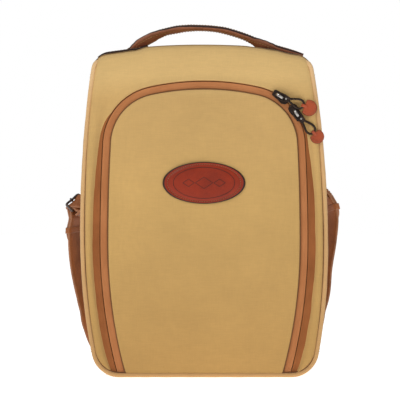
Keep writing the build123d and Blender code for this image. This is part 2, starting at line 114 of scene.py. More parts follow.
def make_studio():
    """White sweep: the camera sees pure white, the pack is lit softly from the upper left."""
    scene = bpy.context.scene
    scene.view_settings.view_transform = "Standard"
    scene.view_settings.look = "None"
    world = bpy.data.worlds.new("studio")
    world.use_nodes = True
    tree = world.node_tree
    tree.nodes["Background"].inputs["Color"].default_value = (1, 1, 1, 1)
    seen = tree.nodes.new("ShaderNodeLightPath").outputs["Is Camera Ray"]
    strength = tree.nodes.new("ShaderNodeMath")
    strength.operation = "MULTIPLY_ADD"
    strength.inputs[1].default_value = 1.0 - SKY
    strength.inputs[2].default_value = SKY
    tree.links.new(seen, strength.inputs[0])
    tree.links.new(strength.outputs[0], tree.nodes["Background"].inputs["Strength"])
    scene.world = world
    make_light("key", (-1.1, -1.7, 1.9), (0, 0, 0.2), (1.1, 0.9), 19.8)
    make_light("fill", (1.5, -1.5, 0.9), (0, 0, 0.2), (1.0, 1.0), 3.0)
    make_light("top", (0.0, -0.1, 1.6), (0, 0, 0.2), (1.4, 1.0), 3.1)
    mesh = bpy.data.meshes.new("floor")
    corners = [(x * FLOOR_HALF, y * FLOOR_HALF, 0) for x, y in ((-1, -1), (1, -1), (1, 1), (-1, 1))]
    mesh.from_pydata(corners, [], [(0, 1, 2, 3)])
    floor = bpy.data.objects.new("floor", mesh)
    scene.collection.objects.link(floor)
    white = plain_material("floor_white", (0.9, 0.9, 0.895), 0.8)
    shader = white.node_tree.nodes["Principled BSDF"]
    shader.inputs["Emission Color"].default_value = (1, 1, 1, 1)
    shader.inputs["Emission Strength"].default_value = FLOOR_GLOW
    floor.data.materials.append(white)


# ---------------------------------------------------------------- materials
def plain_material(name, color, roughness):
    material = bpy.data.materials.new(name)
    material.use_nodes = True
    shader = material.node_tree.nodes["Principled BSDF"]
    shader.inputs["Base Color"].default_value = (*color, 1)
    shader.inputs["Roughness"].default_value = roughness
    return material


class Shader:
    """Small helper that adds nodes to one material."""

    def __init__(self, name, roughness=0.8, metallic=0.0):
        self.material = bpy.data.materials.new(name)
        self.material.use_nodes = True
        self.tree = self.material.node_tree
        self.bsdf = self.tree.nodes["Principled BSDF"]
        self.set("Roughness", roughness)
        self.set("Metallic", metallic)
        self.position = self.node("ShaderNodeTexCoord").outputs["Object"]

    def set(self, socket, value):
        self.bsdf.inputs[socket].default_value = value

    def node(self, kind, **settings):
        made = self.tree.nodes.new(kind)
        for key, value in settings.items():
            setattr(made, key, value)
        return made

    def link(self, source, target):
        self.tree.links.new(source, target)

    def feed(self, sockets, values):
        """Set each socket to a number or a color, or link an output to it."""
        for socket, value in zip(sockets, values):
            if isinstance(value, (int, float)):
                socket.default_value = value
            elif isinstance(value, tuple):
                socket.default_value = (*value, 1)
            elif value is not None:
                self.link(value, socket)

    def scaled(self, factors):
        made = self.node("ShaderNodeMapping")
        made.inputs["Scale"].default_value = factors
        self.link(self.position, made.inputs["Vector"])
        return made.outputs["Vector"]

    def noise(self, scale, detail=3.0, rough=0.55, stretch=(1, 1, 1), distortion=0.0):
        made = self.node("ShaderNodeTexNoise")
        made.inputs["Scale"].default_value = scale
        made.inputs["Detail"].default_value = detail
        made.inputs["Roughness"].default_value = rough
        made.inputs["Distortion"].default_value = distortion
        self.link(self.scaled(stretch), made.inputs["Vector"])
        return made.outputs["Fac"]

    def voronoi(self, scale, stretch=(1, 1, 1)):
        made = self.node("ShaderNodeTexVoronoi", feature="DISTANCE_TO_EDGE")
        made.inputs["Scale"].default_value = scale
        self.link(self.scaled(stretch), made.inputs["Vector"])
        return made.outputs["Distance"]

    def math(self, operation, a, b=None):
        made = self.node("ShaderNodeMath", operation=operation)
        self.feed(made.inputs, (a, b))
        return made.outputs["Value"]

    def ramp(self, fac, stops):
        made = self.node("ShaderNodeValToRGB")
        elements = made.color_ramp.elements
        while len(elements) < len(stops):
            elements.new(0.5)
        for element, (place, color) in zip(elements, stops):
            element.position = place
            element.color = (*color, 1)
        self.link(fac, made.inputs["Fac"])
        return made.outputs["Color"]

    def mix(self, fac, a, b, kind="MIX"):
        made = self.node("ShaderNodeMixRGB", blend_type=kind)
        self.feed(made.inputs, (fac, a, b))
        return made.outputs["Color"]

    def axes(self):
        """The place on the piece, split into X, Y and Z."""
        parts = self.node("ShaderNodeSeparateXYZ")
        self.link(self.position, parts.inputs["Vector"])
        return parts.outputs

    def weave(self, pitch, wobble=0.15):
        """Height of a plain weave with its threads along the three axes."""
        wave = 2 * math.pi / (pitch * MM)
        wander = self.math("MULTIPLY", self.noise(120, 2), wobble * 8)
        parts = self.axes()
        total = None
        for axis in "XYZ":
            phase = self.math("ADD", self.math("MULTIPLY", parts[axis], wave), wander)
            thread = self.math("SINE", phase)
            total = thread if total is None else self.math("ADD", total, thread)
        return self.math("MULTIPLY", total, 0.33)

    def woven_tone(self, weave, low, high):
        """Color factor of a weave: low and high are (height, brightness) of its hollows and its threads."""
        height = self.math("ADD", self.math("MULTIPLY", weave, 0.5), 0.5)
        return self.ramp(height, greys(low, high))

    def bump(self, *layers):
        """Stack bump layers of (height, strength, depth in mm)."""
        normal = None
        for height, strength, depth in layers:
            made = self.node("ShaderNodeBump")
            made.inputs["Strength"].default_value = strength
            made.inputs["Distance"].default_value = depth * MM
            self.link(height, made.inputs["Height"])
            if normal is not None:
                self.link(normal, made.inputs["Normal"])
            normal = made.outputs["Normal"]
        self.link(normal, self.bsdf.inputs["Normal"])

    def color(self, output):
        self.link(output, self.bsdf.inputs["Base Color"])

    def roughness(self, output):
        self.link(output, self.bsdf.inputs["Roughness"])


def shade(color, factor):
    return tuple(c * factor for c in color)


def shades(color, *stops):
    """Stops of a ramp through a color: each is its place and a factor."""
    return [(place, shade(color, factor)) for place, factor in stops]


def greys(*stops):
    return shades((1, 1, 1), *stops)


# tint of the canvas against height, painted light and shade: darker and browner towards the foot, lightest
# along the top, as the light falls from above
HEIGHT_PAINTED_SHADE = ((0.08, (0.785, 0.695, 0.565)), (0.5, (0.91, 0.85, 0.735)), (0.84, (0.91, 0.86, 0.80)),
        (0.91, (1, 1, 1)))


def canvas_material(name, color, painted_height_shade=False, pitch=0.75):
    """Matt cotton canvas: woven threads, slubs, faint cloudy wear and a soft sheen."""
    s = Shader(name, roughness=0.92)
    base = s.ramp(s.noise(9, 4, 0.6), shades(color, (0.3, 0.93), (0.7, 1.05)))
    if painted_height_shade:
        # painted shade and light: the canvas is darkened towards the foot and lightened along the top
        up = s.math("MULTIPLY", s.axes()["Z"], 1 / (TOP_Z * MM))
        base = s.mix(1.0, base, s.ramp(up, HEIGHT_PAINTED_SHADE), "MULTIPLY")
    slubs_h = s.ramp(s.noise(1000, 2, 0.6, (0.1, 0.1, 1)), greys((0.35, 0.93), (0.65, 1.05)))
    slubs_v = s.ramp(s.noise(1000, 2, 0.6, (1, 1, 0.1)), greys((0.35, 0.94), (0.65, 1.04)))
    base = s.mix(0.4, base, slubs_h, "MULTIPLY")
    base = s.mix(0.35, base, slubs_v, "MULTIPLY")
    weave = s.weave(pitch)
    s.color(s.mix(0.25, base, s.woven_tone(weave, (0.1, 0.9), (0.9, 1.05)), "MULTIPLY"))
    s.bump((s.noise(14, 3, 0.5), 0.25, 1.2), (weave, 0.22, 0.10))
    s.set("Sheen Weight", 0.12)
    s.set("Sheen Roughness", 0.6)
    s.set("Specular IOR Level", 0.2)
    return s.material


def leather_material(name, color, roughness=0.5, grain=900.0, coat=0.0, dark=0.62):
    """Leather: pebbled grain, cloudy dye, small scuffs and a dull or glossy finish."""
    s = Shader(name, roughness=roughness)
    cloud = s.noise(28, 4, 0.65, distortion=0.4)
    base = s.ramp(cloud, shades(color, (0.28, dark), (0.5, 1.0), (0.75, 1.25)))
    pores = s.ramp(s.noise(grain * 0.9, 2, 0.5), greys((0.35, 0.82), (0.6, 1.0)))
    s.color(s.mix(0.7, base, pores, "MULTIPLY"))
    pebbles = s.voronoi(grain)
    s.bump((s.noise(60, 3), 0.2, 0.5), (pebbles, 0.4, 0.12), (s.noise(grain * 2, 2), 0.15, 0.06))
    s.roughness(s.ramp(s.noise(45, 4, 0.6), greys((0.3, roughness * 0.8), (0.7, min(1, roughness * 1.25)))))
    s.set("Specular IOR Level", 0.28)
    s.set("Coat Weight", coat)
    s.set("Coat Roughness", 0.25)
    return s.material


def metal_material(name, color, roughness=0.32):
    """Plated casting: fine brushed grain, darker where it has tarnished, worn bright spots."""
    s = Shader(name, roughness=roughness, metallic=1.0)
    tarnish = s.noise(180, 4, 0.65)
    s.color(s.ramp(tarnish, shades(color, (0.35, 0.6), (0.6, 1.0), (0.8, 1.7))))
    s.bump((s.noise(900, 2, 0.5, (1, 1, 0.2)), 0.12, 0.05), (s.noise(300, 2), 0.1, 0.1))
    s.roughness(s.ramp(s.noise(250, 3), greys((0.3, roughness * 0.75), (0.7, roughness * 1.4))))
    return s.material


def tape_material(name, color, dark):
    """Woven zip tape: cloudy dye, a fine weave and a faint sheen."""
    s = Shader(name, roughness=0.8)
    cloudy = s.noise(22, 3, 0.6)
    base = s.ramp(cloudy, [(0.3, dark), (0.7, color)])
    weave = s.weave(0.55, 0.25)
    s.color(s.mix(0.7, base, s.woven_tone(weave, (0.15, 0.86), (0.85, 1.08)), "MULTIPLY"))
    s.bump((weave, 0.4, 0.12))
    s.set("Sheen Weight", 0.06)
    s.set("Sheen Roughness", 0.5)
    s.set("Specular IOR Level", 0.2)
    return s.material


def thread_material(name, color):
    s = Shader(name, roughness=0.7)
    twist = s.noise(1500, 2, 0.5)
    s.color(s.ramp(twist, shades(color, (0.3, 0.7), (0.7, 1.15))))
    s.bump((twist, 0.4, 0.1))
    return s.material


def mesh_material(name, color):
    """Spacer mesh for the back cushions: small hexagon-like holes."""
    s = Shader(name, roughness=0.95)
    cells = s.voronoi(330)
    # painted shade: the holes are coloured darker than the threads round them
    holes = s.ramp(cells, shades(color, (0.05, 1.3), (0.32, 0.45)))
    s.color(s.mix(0.35, holes, s.ramp(s.noise(12, 3), shades(color, (0.3, 0.8), (0.7, 1.2)))))
    s.bump((s.noise(20, 3), 0.2, 1.0), (s.math("MULTIPLY", cells, -1.0), 0.6, 0.5))
    return s.material


CANVAS_COLOR = (0.640, 0.425, 0.168)
MATERIALS = {}


def make_materials():
    m = MATERIALS
    m["canvas"] = canvas_material("canvas_tan", CANVAS_COLOR, True)
    m["piping"] = canvas_material("canvas_piping", (0.72, 0.47, 0.235), True, 0.6)
    # dark thread for the piping seam, also used for the door's edge line, where it is painted shadow
    m["seam"] = thread_material("seam_thread_and_painted_shadow_line", (0.165, 0.062, 0.012))
    m["thread_tan"] = thread_material("thread_tan", (0.50, 0.32, 0.13))
    m["thread_brown"] = thread_material("thread_brown", (0.30, 0.13, 0.05))
    m["tape"] = tape_material("zip_tape_brown", (0.53, 0.208, 0.076), (0.45, 0.168, 0.058))
    # painted shade: a darker copy of the zip tape for the case's half, which lies sunk beside the canvas lip
    m["tape_outer_painted_shade"] = tape_material("zip_tape_outer", (0.37, 0.125, 0.036), (0.27, 0.088, 0.024))
    m["coil"] = leather_material("zip_coil_brown", (0.24, 0.095, 0.036), 0.5, 1500)
    m["leather_handle"] = leather_material("leather_handle", (0.37, 0.148, 0.080), 0.5, 1100)
    m["leather_strap"] = leather_material("leather_strap", (0.37, 0.130, 0.046), 0.5, 1000)
    m["leather_tab"] = leather_material("leather_tab", (0.40, 0.072, 0.024), 0.42, 1200)
    m["leather_patch"] = leather_material("leather_patch", (0.275, 0.024, 0.005), 0.45, 1500, 0.03, 0.7)
    m["leather_dark"] = leather_material("leather_dark_red", (0.13, 0.020, 0.010), 0.5, 1200)
    # strap edges lighter than the faces: partly the raw edge's own colour, partly a painted highlight where
    # the round edge catches the light
    m["leather_edge"] = leather_material("leather_edge_tan_and_painted_highlight", (0.40, 0.185, 0.100), 0.6, 1500)
    m["edge_paint"] = leather_material("leather_edge_paint", (0.035, 0.014, 0.010), 0.45, 1500)
    m["metal_bright"] = metal_material("metal_slider", (0.50, 0.47, 0.44), 0.3)
    m["metal_dark"] = metal_material("metal_puller", (0.055, 0.040, 0.034), 0.34)
    m["metal_buckle"] = metal_material("metal_buckle", (0.13, 0.105, 0.10), 0.3)
    m["lining"] = canvas_material("lining_brown", (0.20, 0.115, 0.06), False, 0.5)
    m["mesh"] = mesh_material("back_mesh", (0.21, 0.125, 0.07))
    m["foam"] = canvas_material("foam_grey", (0.5, 0.49, 0.46), False, 0.9)
    m["board"] = leather_material("board_black", (0.03, 0.03, 0.03), 0.5, 600)


# ---------------------------------------------------------------- mesh helpers
def new_object(name, vertices, faces, materials, smooth=True):
    """Mesh object from points in millimetres."""
    mesh = bpy.data.meshes.new(name)
    mesh.from_pydata([tuple(Vector(v) * MM) for v in vertices], [], faces)
    mesh.update()
    for material in materials:
        mesh.materials.append(MATERIALS[material])
    for polygon in mesh.polygons:
        polygon.use_smooth = smooth
    made = bpy.data.objects.new(name, mesh)
    bpy.context.scene.collection.objects.link(made)
    return made


def grid(name, rows, materials, wrap=False, band_material=None):
    """Quads over rows of points; wrap closes each row on itself. band_material picks a material
    for each quad from its row and its place in the row."""
    n = len(rows[0])
    per_row = n if wrap else n - 1
    vertices = [p for row in rows for p in row]
    faces = []
    for i in range(len(rows) - 1):
        for j in range(per_row):
            k = (j + 1) % n
            faces.append((i * n + j, i * n + k, (i + 1) * n + k, (i + 1) * n + j))
    made = new_object(name, vertices, faces, materials)
    if band_material:
        for index, polygon in enumerate(made.data.polygons):
            polygon.material_index = band_material(index // per_row, index % per_row)
    return made


def edit_mesh(made, change):
    bm = bmesh.new()
    bm.from_mesh(made.data)
    change(bm)
    bm.to_mesh(made.data)
    bm.free()
    return made


def face_outwards(made):
    return edit_mesh(made, lambda bm: bmesh.ops.recalc_face_normals(bm, faces=bm.faces))


def weld(made, distance=0.01):
    return edit_mesh(made, lambda bm: bmesh.ops.remove_doubles(bm, verts=bm.verts, dist=distance * MM))


def sweep(name, centres, across, profile, materials, side_material=None, closed=False):
    """Closed section swept along a path. across is the width direction, one for all or one for each
    point, and profile lists (width, height) points, or is a function of the path index that does."""
    if isinstance(across, Vector):
        across = [across] * len(centres)
    count = len(centres)
    rows = []
    for i, centre in enumerate(centres):
        before = centres[i - 1] if (i or closed) else centre
        after = centres[(i + 1) % count] if (i + 1 < count or closed) else centre
        along = (after - before).normalized()
        wide = (across[i] - along * across[i].dot(along)).normalized()
        high = along.cross(wide)
        section = profile(i) if callable(profile) else profile
        rows.append([centre + wide * w + high * h for w, h in section])
    if closed:
        rows.append(rows[0])
    band = (lambda i, j: side_material(j)) if side_material else None
    n = len(rows[0])
    made = grid(name, rows, materials, wrap=True, band_material=band)

    def cap_ends(bm):
        bm.verts.ensure_lookup_table()
        for start in (0, (len(rows) - 1) * n):
            bm.faces.new([bm.verts[start + j] for j in range(n)])

    if closed:
        weld(made)
    else:
        edit_mesh(made, cap_ends)
    return face_outwards(made)


def turns(count, share=1.0):
    """Angles spread evenly over a full turn, or over a share of it."""
    return [2 * math.pi * share * k / count for k in range(count)]


def circle(radius, sides=12, squash=1.0):
    return [(radius * math.cos(a), radius * squash * math.sin(a)) for a in turns(sides)]


def soft_box(half_w, half_h, power_w, power_h, sides):
    """Outline between a box and an ellipse: the lower the powers, the squarer it is."""
    return [(math.copysign(abs(math.cos(a)) ** power_w, math.cos(a)) * half_w,
             math.copysign(abs(math.sin(a)) ** power_h, math.sin(a)) * half_h) for a in turns(sides)]


def rounded_section(half_w, half_t, steps=4, bulge=0.0):
    """Section of a strap: flat faces, round edges. Edge points come first and last."""
    points = []
    for side, start in ((1, -90), (-1, 90)):
        for k in range(steps + 1):
            a = math.radians(start + 180 * k / steps)
            points.append((side * (half_w - half_t) + half_t * math.cos(a), half_t * math.sin(a)))
        for k in (1, 2, 3):
            w = side * (half_w - half_t) * (1 - 2 * k / 4)
            points.append((w, side * (half_t + bulge * (1 - (w / half_w) ** 2))))
    return points


def edge_only(steps, painted=1):
    """Material picker for rounded_section: painted edges, leather faces."""
    block = steps + 4
    return lambda j: painted if (j % block) < steps else 0


def smooth_line(points, count, closed=False):
    """Evenly spaced points on a Catmull-Rom curve through the given ones."""
    pts = [Vector(p) for p in points]
    dense = []
    n = len(pts)
    last = n if closed else n - 1
    for i in range(last):
        p0 = pts[(i - 1) % n] if (i or closed) else pts[0] * 2 - pts[1]
        p1, p2 = pts[i], pts[(i + 1) % n]
        p3 = pts[(i + 2) % n] if (i + 2 < n or closed) else p2 * 2 - p1
        for k in range(24):
            t = k / 24
            dense.append(0.5 * ((2 * p1) + (p2 - p0) * t + (2 * p0 - 5 * p1 + 4 * p2 - p3) * t * t
                                + (3 * p1 - p0 - 3 * p2 + p3) * t ** 3))
    dense.append(pts[0] if closed else pts[-1])
    return evenly(dense, count)


def evenly(line, count):
    """Count points spaced evenly along a polyline, both ends included."""
    lengths = [0.0]
    for a, b in zip(line, line[1:]):
        lengths.append(lengths[-1] + (b - a).length)
    made, k = [], 0
    for i in range(count):
        want = lengths[-1] * i / (count - 1)
        while k < len(line) - 2 and lengths[k + 1] < want:
            k += 1
        span = max(lengths[k + 1] - lengths[k], 1e-9)
        made.append(line[k].lerp(line[k + 1], (want - lengths[k]) / span))
    return made


def line_length(line):
    return sum((b - a).length for a, b in zip(line, line[1:]))


def stitches(name, line, normals, material, pitch=3.0, length=2.2, radius=0.33):
    """One mesh of short thread stitches laid along a line, each sunk a little at its ends. normals
    is the way out of the leather, one for all or one for each point of the line."""
    count = max(2, int(line_length(line) / pitch))
    centres = evenly(line, count + 1)
    ups = None if isinstance(normals, Vector) else evenly(normals, count + 1)
    vertices, faces = [], []
    rings, sides = 5, 5
    for i in range(count):
        a, b = centres[i], centres[i + 1]
        along = (b - a).normalized()
        up = (normals if ups is None else ups[i]).normalized()
        side = along.cross(up).normalized()
        middle = (a + b) / 2
        base = len(vertices)
        for r in range(rings):
            t = r / (rings - 1) * 2 - 1
            thick = radius * math.sqrt(max(0.06, 1 - t * t * 0.94))
            rise = radius * (0.5 - 0.75 * t * t)
            for k in range(sides):
                angle = 2 * math.pi * k / sides
                vertices.append(middle + along * (t * length / 2) + up * (rise + thick * math.sin(angle))
                                + side * thick * math.cos(angle))
        for r in range(rings - 1):
            for k in range(sides):
                m = (k + 1) % sides
                faces.append((base + r * sides + k, base + r * sides + m,
                              base + (r + 1) * sides + m, base + (r + 1) * sides + k))
        faces.append(tuple(base + k for k in range(sides))[::-1])
        faces.append(tuple(base + (rings - 1) * sides + k for k in range(sides)))
    return face_outwards(new_object(name, vertices, faces, [material]))


def place(made, body, slot, *replaced):
    """Fix a finished piece to its body, in the place of the CAD nodes that it replaces."""
    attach(made, body)
    if replaced:
        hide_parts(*replaced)
    return made


def ripple(x, y, z, size, depth):
    """Smooth random height at a place, size and depth in millimetres."""
    return depth * noise.noise(Vector((x / size + SEED, y / size, z / size)))


# ---------------------------------------------------------------- outlines
class Arch:
    """The case's and the zip's outlines: bowed sides, round upper corners, crowned top."""

    def __init__(self, half_width, corner, corner_r, top, foot, foot_r, cut_z=None):
        self.half_width, self.corner, self.corner_r, self.top = half_width, corner, corner_r, top
        self.foot, self.foot_r, self.cut_z = foot, foot_r, cut_z

    @staticmethod
    def bow(across, along, small_r):
        return (across ** 2 + along ** 2 - small_r ** 2) / (2 * (across - small_r))

    def half(self, grow):
        """Arcs of the right half from the foot to the crown: centre, radius, start, end angle."""
        half, top = self.half_width + grow, self.top + grow
        (cx, cz), (fx, fz) = self.corner, self.foot
        corner_r, foot_r = self.corner_r + grow, self.foot_r + grow
        side_r = self.bow(half - cx, WIDEST_Z - cz, corner_r)
        side_end = math.atan2(cz - WIDEST_Z, cx - half + side_r)
        crown_r = self.bow(top - cz, cx, corner_r)
        crown_start = math.atan2(cz - top + crown_r, cx)
        lower_r = self.bow(half - fx, WIDEST_Z - fz, foot_r)
        arcs = []
        if self.cut_z is None:
            start = math.atan2(fz - WIDEST_Z, fx - half + lower_r)
            arcs.append(((fx, fz), foot_r, -math.pi / 2, start))
        else:
            start = -math.asin((WIDEST_Z - self.cut_z) / lower_r)
        return arcs + [((half - lower_r, WIDEST_Z), lower_r, start, 0),
                       ((half - side_r, WIDEST_Z), side_r, 0, side_end),
                       ((cx, cz), corner_r, side_end, crown_start),
                       ((0, top - crown_r), crown_r, crown_start, math.pi / 2)]

    def line(self, grow=0.0, count=241):
        """Evenly spaced points from the right foot over the top to the left foot."""
        right = []
        for (cx, cz), radius, a, b in self.half(grow):
            steps = max(4, int(abs(b - a) * radius / 2))
            for k in range(steps):
                t = a + (b - a) * k / steps
                right.append(Vector((cx + radius * math.cos(t), 0, cz + radius * math.sin(t))))
        right.append(Vector((0, 0, self.top + grow)))
        left = [Vector((-p.x, 0, p.z)) for p in right[-2::-1]]
        return evenly(right + left, count)

    def loop(self, grow=0.0, count=320):
        """Evenly spaced points all round, from the right foot back to it, not repeated."""
        line = self.line(grow, count)
        return evenly(line + [line[0]], count + 1)[:-1]


WIDEST_Z = 150.0
CASE = Arch(HALF_W, (104.5, 339.5), 18.0, TOP_Z, (94.5, 31.0), 31.0)
ZIP_HALF, ZIP_CORNER, ZIP_CORNER_R, ZIP_TOP, ZIP_FOOT = 114.4, (46.3, 255.6), 65.1, 325.8, (70.0, 31.0)
LOOK_FOOT = 3.0                              # the zip's pieces are drawn down to this height
LIP = 1.1                                    # the front canvas stops this far outside the zip's corner
ZIP_LINE = Arch(ZIP_HALF, ZIP_CORNER, ZIP_CORNER_R, ZIP_TOP, ZIP_FOOT, 31.0, LOOK_FOOT)
OPENING = Arch(121.6, ZIP_CORNER, ZIP_CORNER_R + LIP, ZIP_TOP + LIP, ZIP_FOOT, 37.0, LOOK_FOOT)
DOOR_EDGE = -8.8                             # door canvas, measured from the zip's middle line
TAPE_HALF = 12.0                             # outer edge of the tape, from the zip's middle line
TAPE_GAP = 0.35                              # from the zip's middle line to each tape
SEAM_IN = 4.7                                # seam beside the piping, in from the outside
RING_IN = SEAM_IN + 0.6                      # edge of the front canvas, in from the outside

# x along the top of the case, and how far it has sunk there
TOP_DIPS = ((-125, 1.8), (-95, 1.0), (-74, 0.2), (-60, -2.6), (-42, -2.8), (44, -2.8), (62, -1.8), (77, -0.6),
            (99, 2.0), (125, 3.2))


def smooth(t):
    """Eases from 0 to 1."""
    t = min(1.0, max(0.0, t))
    return t * t * (3 - 2 * t)


def outward(p):
    """Direction out of the case at a point of its outline."""
    return Vector((p.x, 0, p.z - WIDEST_Z)).normalized()


def settled(p):
    """The case's outline as it stands: it leans a little, its top corners have sunk, and the canvas
    between the handle's ends is drawn up."""
    dip = TOP_DIPS[0][1]
    for (x0, d0), (x1, d1) in zip(TOP_DIPS, TOP_DIPS[1:]):
        if p.x >= x0:
            dip = d0 + (d1 - d0) * smooth((p.x - x0) / (x1 - x0))
    lean = 1.6 - 3.5 * p.z / TOP_Z
    return Vector((p.x + lean, p.y, p.z - dip * smooth((p.z - 300) / 48)))


def crown_share(p):
    """How far a point of the outline belongs to the top edge, where the piping is hidden."""
    return smooth((p.z - 343) / 10) * smooth((125 - abs(p.x)) / 9)


def case_loop(grow, count):
    return [settled(p) for p in CASE.loop(grow, count)]


def at_y(points, y):
    return [Vector((p.x, y, p.z)) for p in points]


# ---------------------------------------------------------------- front of the case
def make_piping():
    """Piped edges. Along the top of the front the canvas rolls over and hides the piping."""
    for name, y, inward, hidden in (("front", FRONT_Y, 1, 1.0), ("back", BACK_Y, -1, 0.0)):

        def tucked(inset, start_y, deep, low):
            line = case_loop(-inset, 420)
            shares = [hidden * crown_share(p) for p in line]
            return [Vector((p.x, start_y + deep * inward * share, p.z - low * share))
                    for p, share in zip(line, shares)]

        centres = tucked(PIPING_R, y, 4.0, 2.6)

        def section(i):
            p = centres[i]
            return circle(PIPING_R * (0.97 + ripple(p.x, y, p.z, 14, 0.10)), 14)

        made = sweep(f"piping_{name}", centres, INTO, section, ["piping"], closed=True)
        place(made, "case", "piping", f"{name}_piping")
        welt = tucked(RING_IN, y - inward * 0.3, 5.0, 3.0)
        made = sweep(f"piping_seam_{name}", welt, INTO, circle(0.62, 8), ["seam"], closed=True)
        place(made, "case", "piping")


RING_ROWS = 22
RING_RISE = 3.4                              # highest rise of the front canvas
VALLEY = (1.0, 1.2)                          # its dip beside the zip: all round, and lower down as well


def ring_point(outer, inner, v):
    """Point of the front canvas between the piping seam (v = 0) and the zip (v = 1). It rises
    from the seam and dips again into a valley beside the zip."""
    p = outer.lerp(inner, v)
    width = (inner - outer).length
    rise = min(RING_RISE, 0.15 * width)
    pillow = max(0.0, rise * math.sin(math.pi * min(1.0, v * 1.15) ** 0.75)) if v < 0.87 else 0.0
    valley = (VALLEY[0] * smooth((v - 0.58) / 0.26)
              + VALLEY[1] * smooth((v - 0.72) / 0.28) * smooth((306 - inner.z) / 75))
    roll = 3.2 * max(0.0, (0.12 - v) / 0.12) ** 2 * crown_share(outer)
    edge = 1.0 * max(0.0, (0.08 - v) / 0.08) ** 2
    wrinkle = ripple(p.x, 0, p.z, 30, 0.9) + ripple(p.x, 5, p.z, 11, 0.28)
    return Vector((p.x, FRONT_Y - 0.5 - pillow + valley + roll + edge + wrinkle * math.sin(math.pi * v), p.z))


def ring_lines(count=361):
    """Outer and inner edge of the front canvas, from the right foot to the left one. Along the top
    the outer edge runs out over the piping."""
    outer = []
    for p in CASE.line(0, 1200):
        if p.z >= 20 or abs(p.x) >= 104.0:
            share = crown_share(settled(p))
            outer.append(settled(p - outward(p) * (RING_IN * (1 - share) + 0.4 * share)))
    return evenly(outer, count), OPENING.line(-0.2, count)


def make_front_ring():
    outer, inner = ring_lines()
    over = [Vector((p.x, FRONT_Y + 3.2 + 2.4 * crown_share(p), p.z - 0.8)) for p in outer]
    face = [[ring_point(o, i, r / RING_ROWS) for o, i in zip(outer, inner)] for r in range(RING_ROWS + 1)]
    tucked = at_y(face[-1], FRONT_Y + 3.2)
    back = at_y([o.lerp(i, 0.2) for o, i in zip(outer, inner)], FRONT_Y + 3.4)
    made = face_outwards(grid("front_ring_canvas", [over, *face, tucked, back], ["canvas"]))
    place(made, "case", "canvas", "front_ring", "zip_lip")


# ---------------------------------------------------------------- walls and back
WALL_EDGE = 1.4                              # the wall's canvas starts this far behind the front
WALL_SAG, TOP_CROWN = 1.7, 1.8
FOAM_BEHIND, FOAM_SHEET = 0.7, 0.8           # foam behind the wall's canvas: how far, how thick
WALL_FOAM = ("foam_left", "foam_right", "foam_top", "foam_base")
WALL_SEAMS = (("top", 330.0), ("base", 31.0))
SEAM_HALF = 56.0                             # half the length of a seam across the wall


def wall_out(p, t):
    """How far the canvas wall stands out: it sags in at the sides and is crowned on top."""
    top = smooth((p.z - 335) / 20)
    return (-WALL_SAG * (1 - top) + TOP_CROWN * top) * math.sin(math.pi * t) ** 0.7 - 0.8


def make_walls():
    rows = []
    steps = 30
    line = CASE.loop(0, 420)
    for r in range(steps + 1):
        t = r / steps
        y = -BACK_Y + WALL_EDGE + (2 * BACK_Y - 2 * WALL_EDGE) * t
        row = []
        for p in line:
            q = settled(p)
            fold = ripple(q.x, y, q.z, 38, 1.1) + ripple(q.x, y, q.z, 13, 0.35)
            if q.z < 12:
                fold = min(0, fold) * 0.3
            q = q + outward(p) * (wall_out(q, t) + fold * math.sin(math.pi * t))
            row.append(Vector((q.x, y, max(q.z, 0.25))))
        rows.append(row)
    made = face_outwards(grid("gusset_canvas", rows, ["canvas"], wrap=True))
    place(made, "case", "canvas", "gusset_left", "gusset_right", "gusset_top", "gusset_base")
    near = [[p - outward(p) * FOAM_BEHIND for p in row] for row in rows[1:-1]]
    far = [[p - outward(p) * FOAM_SHEET for p in row] for row in near[::-1]]
    foam = face_outwards(grid("wall_foam_sheet", near + far + [near[0]], ["foam"], wrap=True))
    place(foam, "case", "foam", *WALL_FOAM)


def make_wall_seams():
    """Seams across the side walls, with a row of stitches above and below each."""
    for name, z in WALL_SEAMS:
        for tag, side in (("left", -1), ("right", 1)):
            edge = [settled(p) for p in CASE.line(-0.4, 1400) if p.x * side > 0]
            p = min(edge, key=lambda q: abs(q.z - z))
            seam = [Vector((p.x - side * 2.0 * math.sin(math.pi * k / 40), -SEAM_HALF + 2 * SEAM_HALF * k / 40,
                            p.z)) for k in range(41)]
            made = sweep(f"wall_seam_{name}_{tag}", seam, UP, circle(1.1, 8, 0.7), ["canvas"])
            place(made, "case", "canvas")
            for row, off in (("low", -3.2), ("up", 3.2)):
                line = [s + Vector((side * 0.4, 0, off)) for s in seam]
                made = stitches(f"wall_stitch_{name}_{tag}_{row}", line, Vector((side, 0, 0.05)), "thread_tan")
                place(made, "case", "canvas")


def fill(loop, centre, steps, height, first=0):
    """Rows of points from a closed loop in to its centre; height gives y from x, z and the share s
    of the way out to the loop."""
    rows = []
    for r in range(first, steps + 1):
        s = 1 - r / steps
        places = [(centre[0] + (p.x - centre[0]) * s, centre[1] + (p.z - centre[1]) * s) for p in loop]
        rows.append([Vector((x, height(x, z, s), z)) for x, z in places])
    return rows


def make_back_panel():
    def height(x, z, s):
        sag = 1.4 * max(0, (s - 0.94) / 0.06) ** 2
        return BACK_Y + 0.1 - sag + ripple(x, 40, z, 30, 0.5) * (1 - s ** 6)

    rows = fill(case_loop(-SEAM_IN, 320), (0, 182), 40, height)
    made = face_outwards(weld(grid("back_panel_canvas", rows, ["canvas"], wrap=True)))
    place(made, "case", "canvas", "back_panel")


# ---------------------------------------------------------------- door
DOOR_CROWN = 5.2


def door_crown(x, z):
    across = 1 - min(1.0, abs(x / 106.0)) ** 2.6
    up = 1 - min(1.0, abs((z - 160.0) / 158.0)) ** 2.6
    return DOOR_CROWN * across ** 0.8 * up ** 0.8


